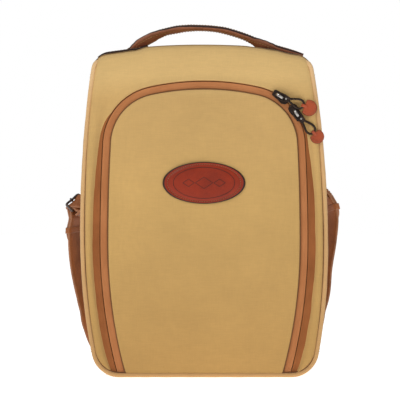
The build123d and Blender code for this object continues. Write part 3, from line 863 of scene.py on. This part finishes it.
def door_y(x, z):
    """Front of the door canvas: crowned by its padding, with shallow creases."""
    crease = ripple(x, 11, z, 42, 0.9) + ripple(x, 17, z, 17, 0.35) + ripple(x, 23, z, 7, 0.10)
    return FRONT_Y - 0.7 - door_crown(x, z) + crease * min(1.0, door_crown(x, z) / 2.0)


def door_loop(inset, count=340):
    line = ZIP_LINE.line(DOOR_EDGE - inset, count)
    low = line[0].z
    base = [Vector((line[-1].x + (line[0].x - line[-1].x) * k / 80, 0, low)) for k in range(1, 80)]
    return line + base


def hang(made, slot, *replaced):
    """Hide the CAD nodes that a piece replaces and bake its placement into its mesh."""
    if replaced:
        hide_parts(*replaced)
    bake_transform(made)


def make_door():
    rows = [at_y(door_loop(0.0), FRONT_Y + 1.3)]
    for inset, drop in ((0.0, 0.9), (0.25, 0.35), (0.8, 0.05), (1.8, 0.0), (3.2, 0.0), (5.2, 0.0), (8.0, 0.0)):
        rows.append([Vector((p.x, door_y(p.x, p.z) + drop, p.z)) for p in door_loop(inset)])
    rows += fill(door_loop(8.0), (0, 150), 44, lambda x, z, s: door_y(x, z), first=1)
    made = face_outwards(weld(grid("door_canvas", rows, ["canvas"], wrap=True)))
    hang(made, "canvas", "door_panel")
    # folded edge beside the zip, dark as a painted shadow of the gap between door and tape
    edge = at_y(ZIP_LINE.line(DOOR_EDGE + 0.25, 361), FRONT_Y + 0.1)
    oval = [(1.15 * math.cos(a), 0.9 * math.sin(a)) for a in turns(8)]
    hang(sweep("door_edge_fold_painted_shadow", edge, INTO, oval, ["seam"]), "piping")


# ---------------------------------------------------------------- zip
def tape_strip(name, start, stop, material):
    """Tape between two offsets from the zip's middle line, gently hollow across."""
    rows = []
    steps = 10
    for r in range(steps + 1):
        v = r / steps
        hollow = 0.55 * math.sin(math.pi * v)
        rows.append([Vector((p.x, TAPE_FRONT_Y - 1.0 + hollow + ripple(p.x, 60, p.z, 18, 0.35), p.z))
                     for p in ZIP_LINE.line(start + (stop - start) * v, 361)])
    behind = TAPE_FRONT_Y + 0.3
    rows += [at_y(rows[-1], behind), at_y(rows[0], behind), rows[0]]
    return face_outwards(weld(grid(name, rows, [material])))


def make_zip():
    hang(tape_strip("zip_tape_door_brown", -TAPE_HALF, -TAPE_GAP, "tape"), "zip_tape", "zip_tape_door")
    # the case's half of the tape uses the darker copy of the tape: painted shade
    case = tape_strip("zip_tape_case_brown", TAPE_GAP, TAPE_HALF, "tape_outer_painted_shade")
    place(case, "case", "zip_tape", "zip_tape_case")
    for name in ("zip_coil_case", "zip_coil_door"):
        dress(name, "coil")
    dress("zip_end_stops", "metal_bright")


def dress(node, material):
    """Give a CAD node whose shape is right its finish."""
    data = frame["nodes"][node].data
    data.materials.clear()
    data.materials.append(MATERIALS[material])


# ---------------------------------------------------------------- patch
PATCH_EDGE = ((1.0, 0.0), (1.0, 1.2), (0.992, 1.7), (0.975, 2.0))   # share of the radius, height
PATCH_FACE = ((0.955, 2.15), (0.925, 2.2), (0.905, 2.05), (0.895, 1.85), (0.882, 1.8), (0.870, 1.95),
              (0.855, 2.25), (0.82, 2.5), (0.7, 2.8), (0.5, 3.0), (0.3, 3.08), (0.12, 3.1), (0.0, 3.1))
LOZENGES = ((-17, 4.2), (0, 6.4), (17, 4.2))                        # x from the middle, half height


def make_patch():
    """Oval leather patch with a painted edge, a stitched groove and a plain embossed mark."""
    centre = (PATCH_LOW + PATCH_HIGH) / 2
    a, b = (PATCH_HIGH.x - PATCH_LOW.x) / 2, (PATCH_HIGH.z - PATCH_LOW.z) / 2
    count = 160

    def at(s, angle, lift):
        x, z = centre.x + a * s * math.cos(angle), centre.z + b * s * math.sin(angle)
        y = FRONT_Y - 0.7 - door_crown(x, z) * 0.9 - DOOR_CROWN * 0.08
        return Vector((x, y - lift, z))

    rows = [[at(s, angle, lift) for angle in turns(count)] for s, lift in PATCH_EDGE + PATCH_FACE]
    made = grid("patch_leather", rows, ["leather_patch", "edge_paint"], wrap=True,
                band_material=lambda i, j: 1 if i < len(PATCH_EDGE) else 0)
    place(face_outwards(weld(made)), "door", "patch_leather", "patch", "patch_backing")
    groove = [at(0.888, angle, 1.95) for angle in turns(count) + [2 * math.pi]]
    place(stitches("patch_stitches", groove, -INTO, "thread_brown", 2.6, 1.9, 0.34), "door", "patch_leather")
    lines = {"patch_oval_line": [at(0.74, angle, 2.72) for angle in turns(count)]}
    for index, (dx, half) in enumerate(LOZENGES):
        corners = []
        for t in turns(48):
            r = 1 / (abs(math.cos(t)) + abs(math.sin(t)))
            x, z = dx + half * 1.5 * r * math.cos(t), half * r * math.sin(t)
            corners.append(at(math.hypot(x / a, z / b), math.atan2(z / b, x / a), 2.98))
        lines[f"patch_lozenge_{index}"] = corners
    oval = [(0.35 * math.cos(t), 0.28 * math.sin(t)) for t in turns(6)]
    for name, line in lines.items():
        place(sweep(name, line, INTO, oval, ["edge_paint"], closed=True), "door", "patch_leather")


# ---------------------------------------------------------------- handle
HANDLE_Y, HANDLE_W = 22.0, 15.0
HANDLE_HINGE_Z = 0.364                       # in metres
HANDLE_FIXED, HANDLE_FREE = 92, 70           # from the middle: sewn down beyond, free within
# x and z of the handle's middle, its roll in degrees (front edge up) and its thickness
HANDLE_COURSE = (
    (-98, 359.2, 2, 2.2), (-90, 361.8, 4, 2.6), (-84, 364.2, 10, 3.6), (-78, 368.0, 28, 4.6),
    (-72, 372.0, 42, 5.2), (-65, 375.6, 46, 5.4), (-58.6, 378.9, 42, 5.4), (-51.9, 382.0, 26, 5.2),
    (-42.8, 385.2, 14, 5.2), (-30.4, 387.8, 15, 5.6), (-18, 389.3, 7, 5.6), (-4.4, 389.6, 2, 5.2),
    (11.4, 388.6, 2, 5.2), (25.9, 386.0, 8, 5.4), (44, 380.4, 8, 5.6), (54.4, 375.8, 16, 5.6),
    (62, 372.0, 38, 5.8), (68, 369.6, 44, 5.8), (75, 367.9, 26, 5.6), (83, 366.1, 10, 5.4),
    (92, 364.0, 6, 5.0), (102, 361.2, 5, 4.4), (112, 358.2, 4, 3.4))
EDGE_STEPS = 6                               # steps round each edge of the handle's section


def course(rows, count):
    """Evenly spaced rows of numbers along a course whose first two are x and z."""
    line = smooth_line([(r[0], 0, r[1]) for r in rows], count)
    made = []
    for point in line:
        k = 0
        while k < len(rows) - 2 and rows[k + 1][0] < point.x:
            k += 1
        t = smooth((point.x - rows[k][0]) / (rows[k + 1][0] - rows[k][0]))
        rest = [a + (b - a) * t for a, b in zip(rows[k][2:], rows[k + 1][2:])]
        made.append((point, *rest))
    return made


def two_layer(j):
    """Material picker: the face (0), and two halves of each edge (1 and 2), one for each layer."""
    block = EDGE_STEPS + 4
    k, back = j % block, j // block == 0
    if k >= EDGE_STEPS:
        return 0
    return 1 if (k > EDGE_STEPS / 2 if back else k < EDGE_STEPS / 2) else 2


def strap_section(width, thickness, bulge=0.0):
    return rounded_section(width / 2, thickness / 2, EDGE_STEPS, bulge)


def bend_with_handle(made, side):
    """Bake the placement of one half of the handle, or of its stitches, into its mesh."""
    start, end = ((side * x * MM, HANDLE_Y * MM, HANDLE_HINGE_Z) for x in (HANDLE_FIXED, HANDLE_FREE))
    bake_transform(made)
    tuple(start)
    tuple(end)


def make_handle():
    """One padded leather strap, in two halves."""
    stations = course(HANDLE_COURSE, 181)
    middle = min(range(len(stations)), key=lambda i: abs(stations[i][0].x))
    for name, part, side in (("left", stations[:middle + 1], -1), ("right", stations[middle:], 1)):
        centres = [Vector((q.x, HANDLE_Y, q.z)) for q, roll, thick in part]
        rolls = [math.radians(roll) for q, roll, thick in part]
        across = [Vector((0, math.cos(r), -math.sin(r))) for r in rolls]

        def section(i):
            x = centres[i].x
            width = HANDLE_W + 0.4 * math.sin(x / 9.0) - 3.0 * smooth((abs(x) - 74) / 14)
            return strap_section(width, part[i][2], 0.7)

        made = sweep(f"handle_leather_{name}", centres, across, section,
                     ["leather_handle", "edge_paint", "leather_handle"], side_material=two_layer)
        if side > 0:
            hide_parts("handle")
        bend_with_handle(made, side)
        for edge, edge_name in ((-1, "front"), (1, "back")):
            for face, face_name in ((-1, "under"), (1, "top")):
                line, ups = [], []
                for i in (i for i in range(len(part)) if abs(centres[i].x) < 106):
                    along = (centres[min(i + 1, len(part) - 1)] - centres[max(i - 1, 0)]).normalized()
                    up = along.cross(across[i]).normalized() * face
                    lift = part[i][2] / 2 + (0.25 if abs(centres[i].x) < 74 else 0.1)
                    line.append(centres[i] + across[i] * edge * (section(i)[0][0] - 0.4) * 0.98 + up * lift)
                    ups.append(up)
                bend_with_handle(stitches(f"handle_stitch_{name}_{edge_name}_{face_name}", line, ups,
                                          "thread_tan", 3.2, 2.3, 0.36), side)


def make_handle_strips():
    """Leather strips sewn to the top of the case under the handle's ends."""
    outline = [settled(q) for q in CASE.line(1.4, 900)]
    for name, side in (("left", -1), ("right", 1)):
        run = evenly([q for q in outline if 62 < q.x * side < 119 and q.z > 330], 70)
        centres = [Vector((q.x, HANDLE_Y, q.z + (3.0 if side < 0 else 1.4))) for q in run]

        def end_section(i):
            t = i / (len(run) - 1)
            ends = min(1.0, 0.35 + 3.2 * min(t, 1 - t)) ** 0.7
            return strap_section(24.0 * ends, 3.0)

        made = sweep(f"handle_strip_leather_{name}", centres, INTO, end_section,
                     ["leather_handle", "edge_paint", "edge_paint"], side_material=two_layer)
        place(made, "case", "handle_leather", f"handle_strip_{name}", f"handle_end_{name}")
        for edge, edge_name in ((-1, "front"), (1, "back")):
            line = [centre + Vector((0, edge * 9.4, 1.35)) for centre in centres[10:60]]
            made = stitches(f"handle_strip_stitch_{name}_{edge_name}", line, Vector((side * 0.25, 0, 1)),
                            "thread_tan", 3.2, 2.3, 0.36)
            place(made, "case", "handle_leather")


# ---------------------------------------------------------------- sliders, pullers and tabs
class Local:
    """A local frame in an upright plane: u and v in the plane, w out of it, forwards or backwards."""

    def __init__(self, origin, u_axis):
        self.origin, self.u = Vector(origin), Vector(u_axis).normalized()
        self.w = -INTO
        self.v = self.w.cross(self.u)

    @classmethod
    def behind(cls):
        """The frame of the back panel's pieces: u is X, v is Z and w is Y."""
        made = cls((0, 0, 0), (1, 0, 0))
        made.w, made.v = INTO, UP
        return made

    def __call__(self, u, v, w):
        return self.origin + self.u * u + self.v * v + self.w * w


def on_corner(angle):
    """Place on the zip's upper right corner, at an angle seen from the corner's centre."""
    a = math.radians(angle)
    return ZIP_CORNER[0] + ZIP_CORNER_R * math.cos(a), ZIP_CORNER[1] + ZIP_CORNER_R * math.sin(a)


def plate(name, outline, low, high, local, material, bevel=0.5, count=72):
    """Flat casting with a smooth outline and softened edges."""
    line = smooth_line([(u, v, 0) for u, v in outline], count + 1, closed=True)[:-1]
    vertices = [local(q.x, q.y, low) for q in line] + [local(q.x, q.y, high) for q in line]
    n = len(line)
    faces = [tuple(range(n))[::-1], tuple(range(n, 2 * n))]
    faces += [(k, (k + 1) % n, n + (k + 1) % n, n + k) for k in range(n)]
    made = face_outwards(new_object(name, vertices, faces, [material], smooth=False))
    modifier = made.modifiers.new("bevel", "BEVEL")
    modifier.width, modifier.segments, modifier.limit_method = bevel * MM, 3, "ANGLE"
    return made


def wire_ring(name, outline, w, local, radius, squash=1.0):
    """Closed ring of dark wire in the plane w."""
    line = smooth_line([(u, v, w) for u, v in outline], 91, closed=True)[:-1]
    return sweep(name, [local(*q) for q in line], local.w, circle(radius, 12, squash), ["metal_dark"],
                 closed=True)


def band(name, points, local, section, material, count):
    """Narrow strip bent along points of a local frame, as wide as v."""
    line = smooth_line(points, count)
    return sweep(name, [local(*q) for q in line], local.v, section, [material])


def mirrored(outline):
    """Outline through the given points and then back through their mirror images across u."""
    return outline + [(u, -v) for u, v in outline[::-1] if v]


SLIDER_OUTLINE = mirrored([(-8.4, 0), (-8.2, 3.2), (-4.5, 3.9), (0, 4.4), (4.0, 5.3), (7.6, 5.2), (10.4, 3.6),
                           (11.4, 0)])
PULLER_W = 65.2                              # the pullers lie in this plane in front of Y = 0
TAB_CUT = 29.4                               # the tab's round layers stop here, short of the ring
TAB_CENTRE, TAB_RADII = 34.5, {"upper": 8.5, "lower": 7.4}


def make_slider(tag, angle, nose):
    """Slider body with its bridge. nose is 1 where it points anticlockwise round the corner, else -1."""
    x, z = on_corner(angle)
    turn = math.radians(angle)
    body = f"slider_{tag}"
    local = Local((x, 0, z), (-math.sin(turn) * nose, 0, math.cos(turn) * nose))
    place(plate(f"slider_{tag}_plate", SLIDER_OUTLINE, 60.9, 62.4, local, "metal_dark", 0.7),
          body, "slider_metal", body)
    rim = [(u * 0.93, v * 0.90) for u, v in SLIDER_OUTLINE]
    place(wire_ring(f"slider_{tag}_rim", rim, 62.3, local, 0.55), body, "slider_metal")
    bridge = [(-4.8, 0, 61.8), (-4.3, 0, 64.4), (-2.6, 0, 66.2), (0, 0, 66.8), (2.6, 0, 66.2),
              (4.3, 0, 64.4), (4.8, 0, 61.8)]
    place(band(f"slider_{tag}_bridge", bridge, local, rounded_section(1.5, 0.55, 4, 0.1), "metal_bright", 60),
          body, "slider_metal")
    post = [(4.2, 1.4), (6.4, 1.2), (6.8, 0), (6.4, -1.2), (4.2, -1.4), (3.4, 0)]
    place(plate(f"slider_{tag}_post", post, 54.2, 61.2, local, "metal_dark", 0.2, 24), body, "slider_metal")
    rear = [(-5.6, 0.3 * nose), (6.4, 0.3 * nose), (6.6, 4.8 * nose), (-5.4, 4.0 * nose)]
    place(plate(f"slider_{tag}_rear", rear, 53.5, 54.6, local, "metal_dark", 0.2, 32), body, "slider_metal")


def make_puller(tag, local):
    """Puller: two cheeks round the bridge, a waist with a boss and a long teardrop ring."""
    body = f"puller_{tag}"
    eye = mirrored([(-1.6, 0), (-1.2, 2.6), (1.5, 3.5), (6.0, 3.1), (9.6, 2.4), (11.6, 1.7)])
    place(wire_ring(f"puller_{tag}_eye", eye, PULLER_W, local, 0.95, 0.85), body, "puller_metal", body)
    web = mirrored([(5.4, 2.5), (9.4, 2.0), (11.2, 1.2)])
    place(plate(f"puller_{tag}_web", web, PULLER_W - 0.7, PULLER_W + 0.75, local, "metal_dark", 0.5, 40),
          body, "puller_metal")
    boss = [(7.6 + u, v) for u, v in circle(1.1, 8)]
    place(plate(f"puller_{tag}_boss", boss, PULLER_W, PULLER_W + 1.15, local, "metal_bright", 0.35, 24),
          body, "puller_metal")
    drop = mirrored([(10.2, 1.0), (13.2, 2.0), (16.8, 3.4), (20.6, 4.7), (24.0, 4.9), (26.8, 3.5), (28.0, 0)])
    place(wire_ring(f"puller_{tag}_ring", drop, PULLER_W, local, 1.25), body, "puller_metal")


def make_tab(tag, local):
    """Tab: a round of two leather layers and a narrow neck folded over the puller's ring."""
    body, radius = f"puller_tab_{tag}", TAB_RADII[tag]
    centre = TAB_CENTRE - (8.3 - radius) * 0.5
    for layer, low, high, grow, leather, replaced in (("front", -0.5, 0.75, 1.0, "leather_tab", [body]),
                                                      ("back", -1.8, -0.55, 1.05, "leather_dark", [])):
        shape = [(max(TAB_CUT, centre + u * grow), v * grow) for u, v in circle(radius, 20)]
        made = plate(f"tab_{tag}_{layer}", shape, PULLER_W + low, PULLER_W + high, local, leather, 0.45)
        place(made, body, "tab_leather", *replaced)
    fold = [(u, 0, PULLER_W + w) for u, w in ((32.5, 0.5), (29.6, 1.5), (28.0, 1.9), (26.1, 0), (28.0, -1.9),
                                              (29.6, -1.9), (32.5, -1.6))]
    place(band(f"tab_{tag}_fold", fold, local, rounded_section(1.7, 0.5, 4), "leather_tab", 50),
          body, "tab_leather")
    seam = [local(centre + (radius - 1.5) * math.cos(t), (radius - 1.5) * math.sin(t), PULLER_W + 0.8)
            for t in turns(60) + [2 * math.pi]]
    place(stitches(f"tab_{tag}_stitch", seam, -INTO, "thread_brown", 2.1, 1.5, 0.26), body, "tab_leather")


def make_sliders():
    # place on the corner, way that the nose points, and direction of the puller from X towards Z
    for tag, angle, nose, direction in (("upper", 55.5, -1, -22.0), ("lower", 32.0, 1, -48.0)):
        make_slider(tag, angle, nose)
        x, z = on_corner(angle)
        a = math.radians(direction)
        local = Local((x, 0, z), (math.cos(a), 0, math.sin(a)))
        make_puller(tag, local)
        make_tab(tag, local)


# ---------------------------------------------------------------- straps
STRAP_W, STRAP_T = 25.6, 2.6


def resample(centres, across, count):
    """Spread a course of centres and width directions evenly."""
    line = smooth_line(centres, count)
    total, marks = 0.0, [0.0]
    for a, b in zip(centres, centres[1:]):
        total += (Vector(b) - Vector(a)).length
        marks.append(total)
    dirs, k = [], 0
    for i in range(count):
        want = total * i / (count - 1)
        while k < len(marks) - 2 and marks[k + 1] < want:
            k += 1
        t = smooth((want - marks[k]) / max(marks[k + 1] - marks[k], 1e-6))
        dirs.append(across[k].lerp(across[k + 1], t).normalized())
    return line, dirs


def leather_strap(name, centres, across, count, width=STRAP_W, thick=STRAP_T, round_end=False, margin=2.8):
    """Flat strap with rounded edges and a row of stitches near each edge on both faces."""
    line, dirs = resample(centres, across, count)

    def section(i):
        w = width
        if round_end:
            left = (count - 1 - i) / (count - 1) * line_length(line)
            if left < width / 2:
                w = max(2.8, width * math.sqrt(max(0.0, 1 - (1 - left / (width / 2)) ** 2)))
        return rounded_section(w / 2, thick / 2, 4, 0.15)

    # the lighter edge material is partly the raw edge's colour, partly a painted highlight
    made = [sweep(name, line, dirs, section, ["leather_strap", "leather_edge"], side_material=edge_only(4))]
    for edge in (-1, 1):
        for face in (-1, 1):
            run, ups = [], []
            last = count - 1 - (int(count * width / 2 / line_length(line)) if round_end else 2)
            for i in range(2, last):
                along = (line[i + 1] - line[i - 1]).normalized()
                up = along.cross(dirs[i]).normalized() * face
                run.append(line[i] + dirs[i] * edge * (width / 2 - margin) + up * (thick / 2 + 0.12))
                ups.append(up)
            made.append(stitches(f"{name}_stitch_{'a' if edge > 0 else 'b'}{'a' if face > 0 else 'b'}",
                                 run, ups, "thread_brown", 3.0, 2.2, 0.33))
    return made


FOLD_REACH = 3.3                             # middle of the leather, from the middle of the heel bar
LAYER = STRAP_T + 0.3                        # from one layer of the strap to the next
BUCKLE_HALF = 14.4


class Strap:
    """Course of one shoulder strap. Places are given for the left strap; sx = -1 mirrors them. edges
    are the front and back edges of the lower strap from its foot upwards, heel is the middle of the
    buckle's heel bar, bar its direction, up and frame_l the way up the buckle frame and its length."""

    def __init__(self, tag, sx, edges, heel, bar, up, frame_l):
        self.tag, self.sx, self.frame_l, self.body = tag, sx, frame_l, f"strap_{tag}"
        self.heel, self.bar, up = self.flip(heel), self.flip(bar).normalized(), self.flip(up)
        self.up = (up - self.bar * up.dot(self.bar)).normalized()
        self.centres, self.across = [], []
        for front, back in edges:
            front, back = self.flip(front), self.flip(back)
            self.centres.append((front + back) / 2)
            self.across.append((back - front).normalized())
        self.outer = self.away((self.heel - self.centres[-1]).normalized().cross(self.bar).normalized())

    def flip(self, v):
        return Vector((v[0] * self.sx, v[1], v[2]))

    def away(self, direction):
        """The direction or its opposite, whichever points away from the case."""
        return -direction if direction.x * self.sx > 0 else direction

    def out_at(self, i):
        """Direction out of the lower strap's outer face."""
        along = (self.centres[i] - self.centres[i - 1]).normalized()
        return self.away(along.cross(self.across[i]).normalized())


def make_lower_strap(strap):
    """Lower strap, folded over the heel bar and sewn back on itself, and its foot on the back panel."""
    centres, across = list(strap.centres), list(strap.across)
    for step in range(7):
        a = math.radians(30 * step)
        centres.append(strap.heel + strap.outer * FOLD_REACH * math.cos(a)
                       + strap.up * FOLD_REACH * math.sin(a))
        across.append(strap.bar)
    inside = strap.heel - strap.outer * FOLD_REACH
    folded_end = strap.centres[-1] - strap.outer * (FOLD_REACH + 0.2)
    centres += [inside - strap.up * 5, folded_end.lerp(inside, 0.1)]
    across += [strap.bar, strap.across[-1]]
    pieces = leather_strap(f"lower_strap_leather_{strap.tag}", centres, across, 170)
    for piece in pieces:
        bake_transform(piece)
    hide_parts(f"lower_strap_{strap.tag}", f"lower_anchor_{strap.tag}")
    foot = [(-124, 14), (-98, 10), (-92, 16), (-94, 40), (-108, 46), (-122, 34)]
    made = plate(f"strap_foot_{strap.tag}", [(u * strap.sx, v) for u, v in foot], BACK_Y + 0.4, BACK_Y + 2.6,
                 Local.behind(), "leather_strap", 0.5)
    place(made, "case", "strap_leather")


def make_tongue(strap, pad_end, flat, middle):
    """Tongue of the upper strap: out of the pad, through the buckle and down the outside. flat is its
    width direction where it leaves the pad, and middle lists the places between pad and buckle."""
    last = (-1, -2, -3)
    centres = [pad_end, *middle, strap.heel + strap.up * (strap.frame_l - 4.5) - strap.outer * 2.0,
               strap.heel + strap.outer * (FOLD_REACH + LAYER - 0.4) + strap.up * 1.0]
    centres += [strap.centres[i] + strap.out_at(i) * LAYER for i in last]
    turning = [flat.lerp(strap.bar, 0.4 + 0.45 * k / max(1, len(middle) - 1)).normalized()
               for k in range(len(middle))]
    first = flat.normalized()
    if first.dot(strap.bar) < 0:
        first = -first
    across = [first, *turning, strap.bar, strap.bar, *(strap.across[i] for i in last)]
    pieces = leather_strap(f"strap_tongue_leather_{strap.tag}", centres, across, 130, STRAP_W - 1.0, 2.4, True)
    for piece in pieces:
        place(piece, strap.body, "strap_leather")
    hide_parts(f"strap_tongue_{strap.tag}")


def make_keeper(strap):
    """Closed loop of flat leather round both layers of the strap."""
    out = strap.out_at(-2)
    centre = strap.centres[-2] + out * (LAYER / 2)
    along = (strap.centres[-1] - strap.centres[-3]).normalized()
    loop = soft_box(STRAP_W / 2 + 0.5, STRAP_T / 2 + LAYER / 2 + 0.6, 0.35, 0.35, 48)
    line = [centre + strap.across[-2] * u + out * v for u, v in loop]
    made = sweep(f"keeper_leather_{strap.tag}", line, along, rounded_section(3.5, 0.55, 4),
                 ["leather_strap", "leather_edge"], edge_only(4), closed=True)
    place(made, strap.body, "strap_leather", f"keeper_{strap.tag}")


def make_buckle(strap):
    """Buckle frame, with its heel bar in the fold of the lower strap, and the prong."""
    tag, length, half = strap.tag, strap.frame_l, BUCKLE_HALF
    outline = [(0, -half), (length * 0.5, -half), (length, -half + 1.5), (length, 0), (length, half - 1.5),
               (length * 0.5, half), (0, half), (-0.6, half - 2), (-0.6, 0), (-0.6, -half + 2)]
    line = smooth_line([strap.heel + strap.up * u + strap.bar * v for u, v in outline], 121, closed=True)[:-1]
    made = sweep(f"buckle_{tag}", line, strap.up.cross(strap.bar).normalized(), circle(1.6, 14, 0.85),
                 ["metal_buckle"], closed=True)
    place(made, strap.body, "buckle_metal", f"buckle_frame_{tag}")
    prong = [(0, -2.2), (2.2, 0), (2.6, 1.8), (length * 0.6, 2.2), (length + 1.6, 1.6)]
    line = smooth_line([strap.heel + strap.up * u + strap.outer * v for u, v in prong], 40)
    made = sweep(f"prong_metal_{tag}", line, strap.bar, circle(1.15, 10), ["metal_buckle"])
    place(made, f"prong_{tag}", "buckle_metal", f"buckle_prong_{tag}")


def make_pad(strap, pad):
    """Shoulder pad: padded canvas between two bound edges, pinched along sewn channels."""
    count, tag = 90, strap.tag
    line, _ = resample(pad, [INTO] * 3, count)
    wide = [(line[min(i + 1, count - 1)] - line[max(i - 1, 0)]).normalized().cross(INTO).normalized()
            for i in range(count)]

    def section(i):
        t = i / (count - 1)
        end = min(1.0, 6.0 * min(t, 1 - t) + 0.35) ** 0.6
        channel = 1.0 - 0.16 * abs(math.cos(math.pi * t * 5)) ** 14
        lump = 1 + ripple(line[i].x, line[i].y, line[i].z, 16, 0.06)
        return soft_box(22.5 * end, 4.9 * end * channel * lump, 0.75, 0.8, 28)

    made = sweep(f"shoulder_pad_canvas_{tag}", line, wide, section, ["canvas"])
    place(made, strap.body, "shoulder_canvas", f"shoulder_pad_{tag}")
    for edge, edge_name in ((-1, "b"), (1, "a")):
        bound = [line[i] + wide[i] * edge * section(i)[0][0] for i in range(2, count - 2)]
        made = sweep(f"shoulder_binding_{tag}_{edge_name}", bound, INTO, circle(1.3, 10), ["leather_strap"])
        place(made, strap.body, "strap_leather")


LEFT_EDGES = [((-120.0, 63.6, 18), (-97.0, 63.6, 14)), ((-131.5, 65.5, 36), (-107.0, 65.0, 32)),
              ((-138.6, 66.8, 53), (-116.0, 74.0, 50)), ((-143.0, 67.6, 71), (-123.8, 85.0, 69)),
              ((-147.2, 68.5, 89), (-129.8, 87.5, 88)), ((-151.2, 69.0, 107.5), (-134.8, 88.8, 107)),
              ((-154.0, 69.5, 126), (-138.3, 89.8, 126)), ((-155.4, 70.0, 144), (-139.7, 90.3, 145)),
              ((-155.2, 70.0, 160), (-139.6, 90.3, 163)), ((-152.6, 70.0, 172), (-138.5, 90.4, 180))]
RIGHT_EDGES = [((-120.0, 63.6, 18), (-97.0, 63.6, 14)), ((-129.0, 65.5, 34), (-105.0, 65.0, 30)),
               ((-135.5, 66.8, 52), (-113.5, 75.0, 49)), ((-140.1, 68.0, 71), (-122.5, 86.0, 69)),
               ((-144.7, 68.5, 89), (-128.6, 88.5, 88)), ((-147.2, 69.0, 117), (-131.2, 89.0, 117)),
               ((-151.6, 69.5, 144), (-136.0, 89.8, 144)), ((-154.2, 70.0, 172), (-139.0, 90.2, 168)),
               ((-152.2, 70.0, 188), (-138.0, 91.2, 182)), ((-146.6, 70.0, 199), (-134.0, 92.4, 192))]


def make_straps():
    left = Strap("left", 1, LEFT_EDGES, (-144.6, 78.7, 189.0), (0.45, 0.79, 0.42), (-0.70, 0.02, 0.71), 9.6)
    right = Strap("right", -1, RIGHT_EDGES, (-133.0, 81.5, 207.0), (0.05, 1.0, 0.03), (0.80, 0.0, 0.60), 12.0)
    for strap, pad, flat, middle in (
            (left, ((-35, 81, 325), (-70, 84.5, 272), (-112, 86, 226)), (0.62, 0.0, 0.78),
             ((-117, 88, 206), (-128, 87, 194))),
            (right, ((-35, 81, 325), (-62, 84, 284), (-100, 86, 252)), (0.45, 0.1, 0.88), ((-108, 86, 234),))):
        pad, middle = [strap.flip(q) for q in pad], [strap.flip(q) for q in middle]
        make_lower_strap(strap)
        make_tongue(strap, pad[2], strap.flip(flat), middle)
        make_keeper(strap)
        make_buckle(strap)
        make_pad(strap, pad)


# ---------------------------------------------------------------- back of the case
def round_rect(x0, x1, z0, z1, r, count):
    points = []
    for cx, cz, start in ((x1 - r, z0 + r, -90), (x1 - r, z1 - r, 0),
                          (x0 + r, z1 - r, 90), (x0 + r, z0 + r, 180)):
        for k in range(9):
            a = math.radians(start + 90 * k / 8)
            points.append(Vector((cx + r * math.cos(a), 0, cz + r * math.sin(a))))
    return evenly(points + [points[0]], count + 1)[:-1]


def make_cushion(name, node, x0, x1, z0, z1, channels):
    """Padded mesh cushion: crowned, drawn in at its edge and pinched along sewn channels."""
    loop = round_rect(x0, x1, z0, z1, 17, 150)

    def height(x, z, s):
        rise = 1.2 + 6.6 * (1 - s ** 5) ** 0.5
        pinch = max((math.exp(-((z - c) / 3.0) ** 2) for c in channels), default=0.0)
        return BACK_Y + 0.3 + rise * (1 - 0.55 * pinch) + ripple(x, 80, z, 18, 0.5) * (1 - s)

    rows = [at_y(loop, BACK_Y + 0.3)] + fill(loop, ((x0 + x1) / 2, (z0 + z1) / 2), 34, height)
    made = face_outwards(weld(grid(name, rows, ["mesh"], wrap=True)))
    place(made, "case", "back_mesh", node)
    made = sweep(f"{name}_binding", at_y(loop, BACK_Y + 1.0), INTO, circle(1.2, 10), ["leather_strap"],
                 closed=True)
    place(made, "case", "back_mesh")


def make_back():
    make_cushion("back_cushion_mesh_left", "back_cushion_left", -101, -15, 75, 295, (130, 185, 240))
    make_cushion("back_cushion_mesh_right", "back_cushion_right", 15, 101, 75, 295, (130, 185, 240))
    make_cushion("lumbar_cushion_mesh", "lumbar_cushion", -95, 95, 23, 65, ())
    yoke = [(-60, 345), (0, 347), (60, 345), (58, 330), (54, 318), (34, 306), (0, 303), (-34, 306), (-54, 318),
            (-58, 330)]
    made = plate("strap_yoke_leather", yoke, BACK_Y + 0.2, BACK_Y + 2.7, Local.behind(), "leather_strap",
                 0.6, 140)
    place(made, "case", "strap_leather", "strap_yoke")
    rim = smooth_line([(u * 0.94, BACK_Y + 2.8, 325 + (v - 325) * 0.86) for u, v in yoke], 200, closed=True)
    place(stitches("strap_yoke_stitch", rim, INTO, "thread_brown", 3.0, 2.2, 0.33),
          "case", "strap_leather")
    for tag, sx in (("left", -1), ("right", 1)):
        points = [(30 * sx, 64.6, 348), (32 * sx, 65.4, 338), (34 * sx, 70.5, 329), (36 * sx, 79.0, 319),
                  (40 * sx, 83.0, 307)]
        across = [Vector((1, 0, 0.25 * sx))] * 5
        for piece in leather_strap(f"upper_anchor_leather_{tag}", points, across, 40, 24.0, 3.0):
            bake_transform(piece)
        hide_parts(f"upper_anchor_{tag}")


# ---------------------------------------------------------------- build
make_camera()
make_materials()
make_studio()
make_piping()
make_front_ring()
make_walls()
make_wall_seams()
make_back_panel()
make_door()
make_zip()
make_patch()
make_handle()
make_handle_strips()
make_sliders()
make_straps()
make_back()

for material in ("foam", "board", "lining"):
    for sub in frame["record"]["subparts"]:
        if sub["material_slot"] == material and sub["node"] not in WALL_FOAM:
            dress(sub["node"], material)
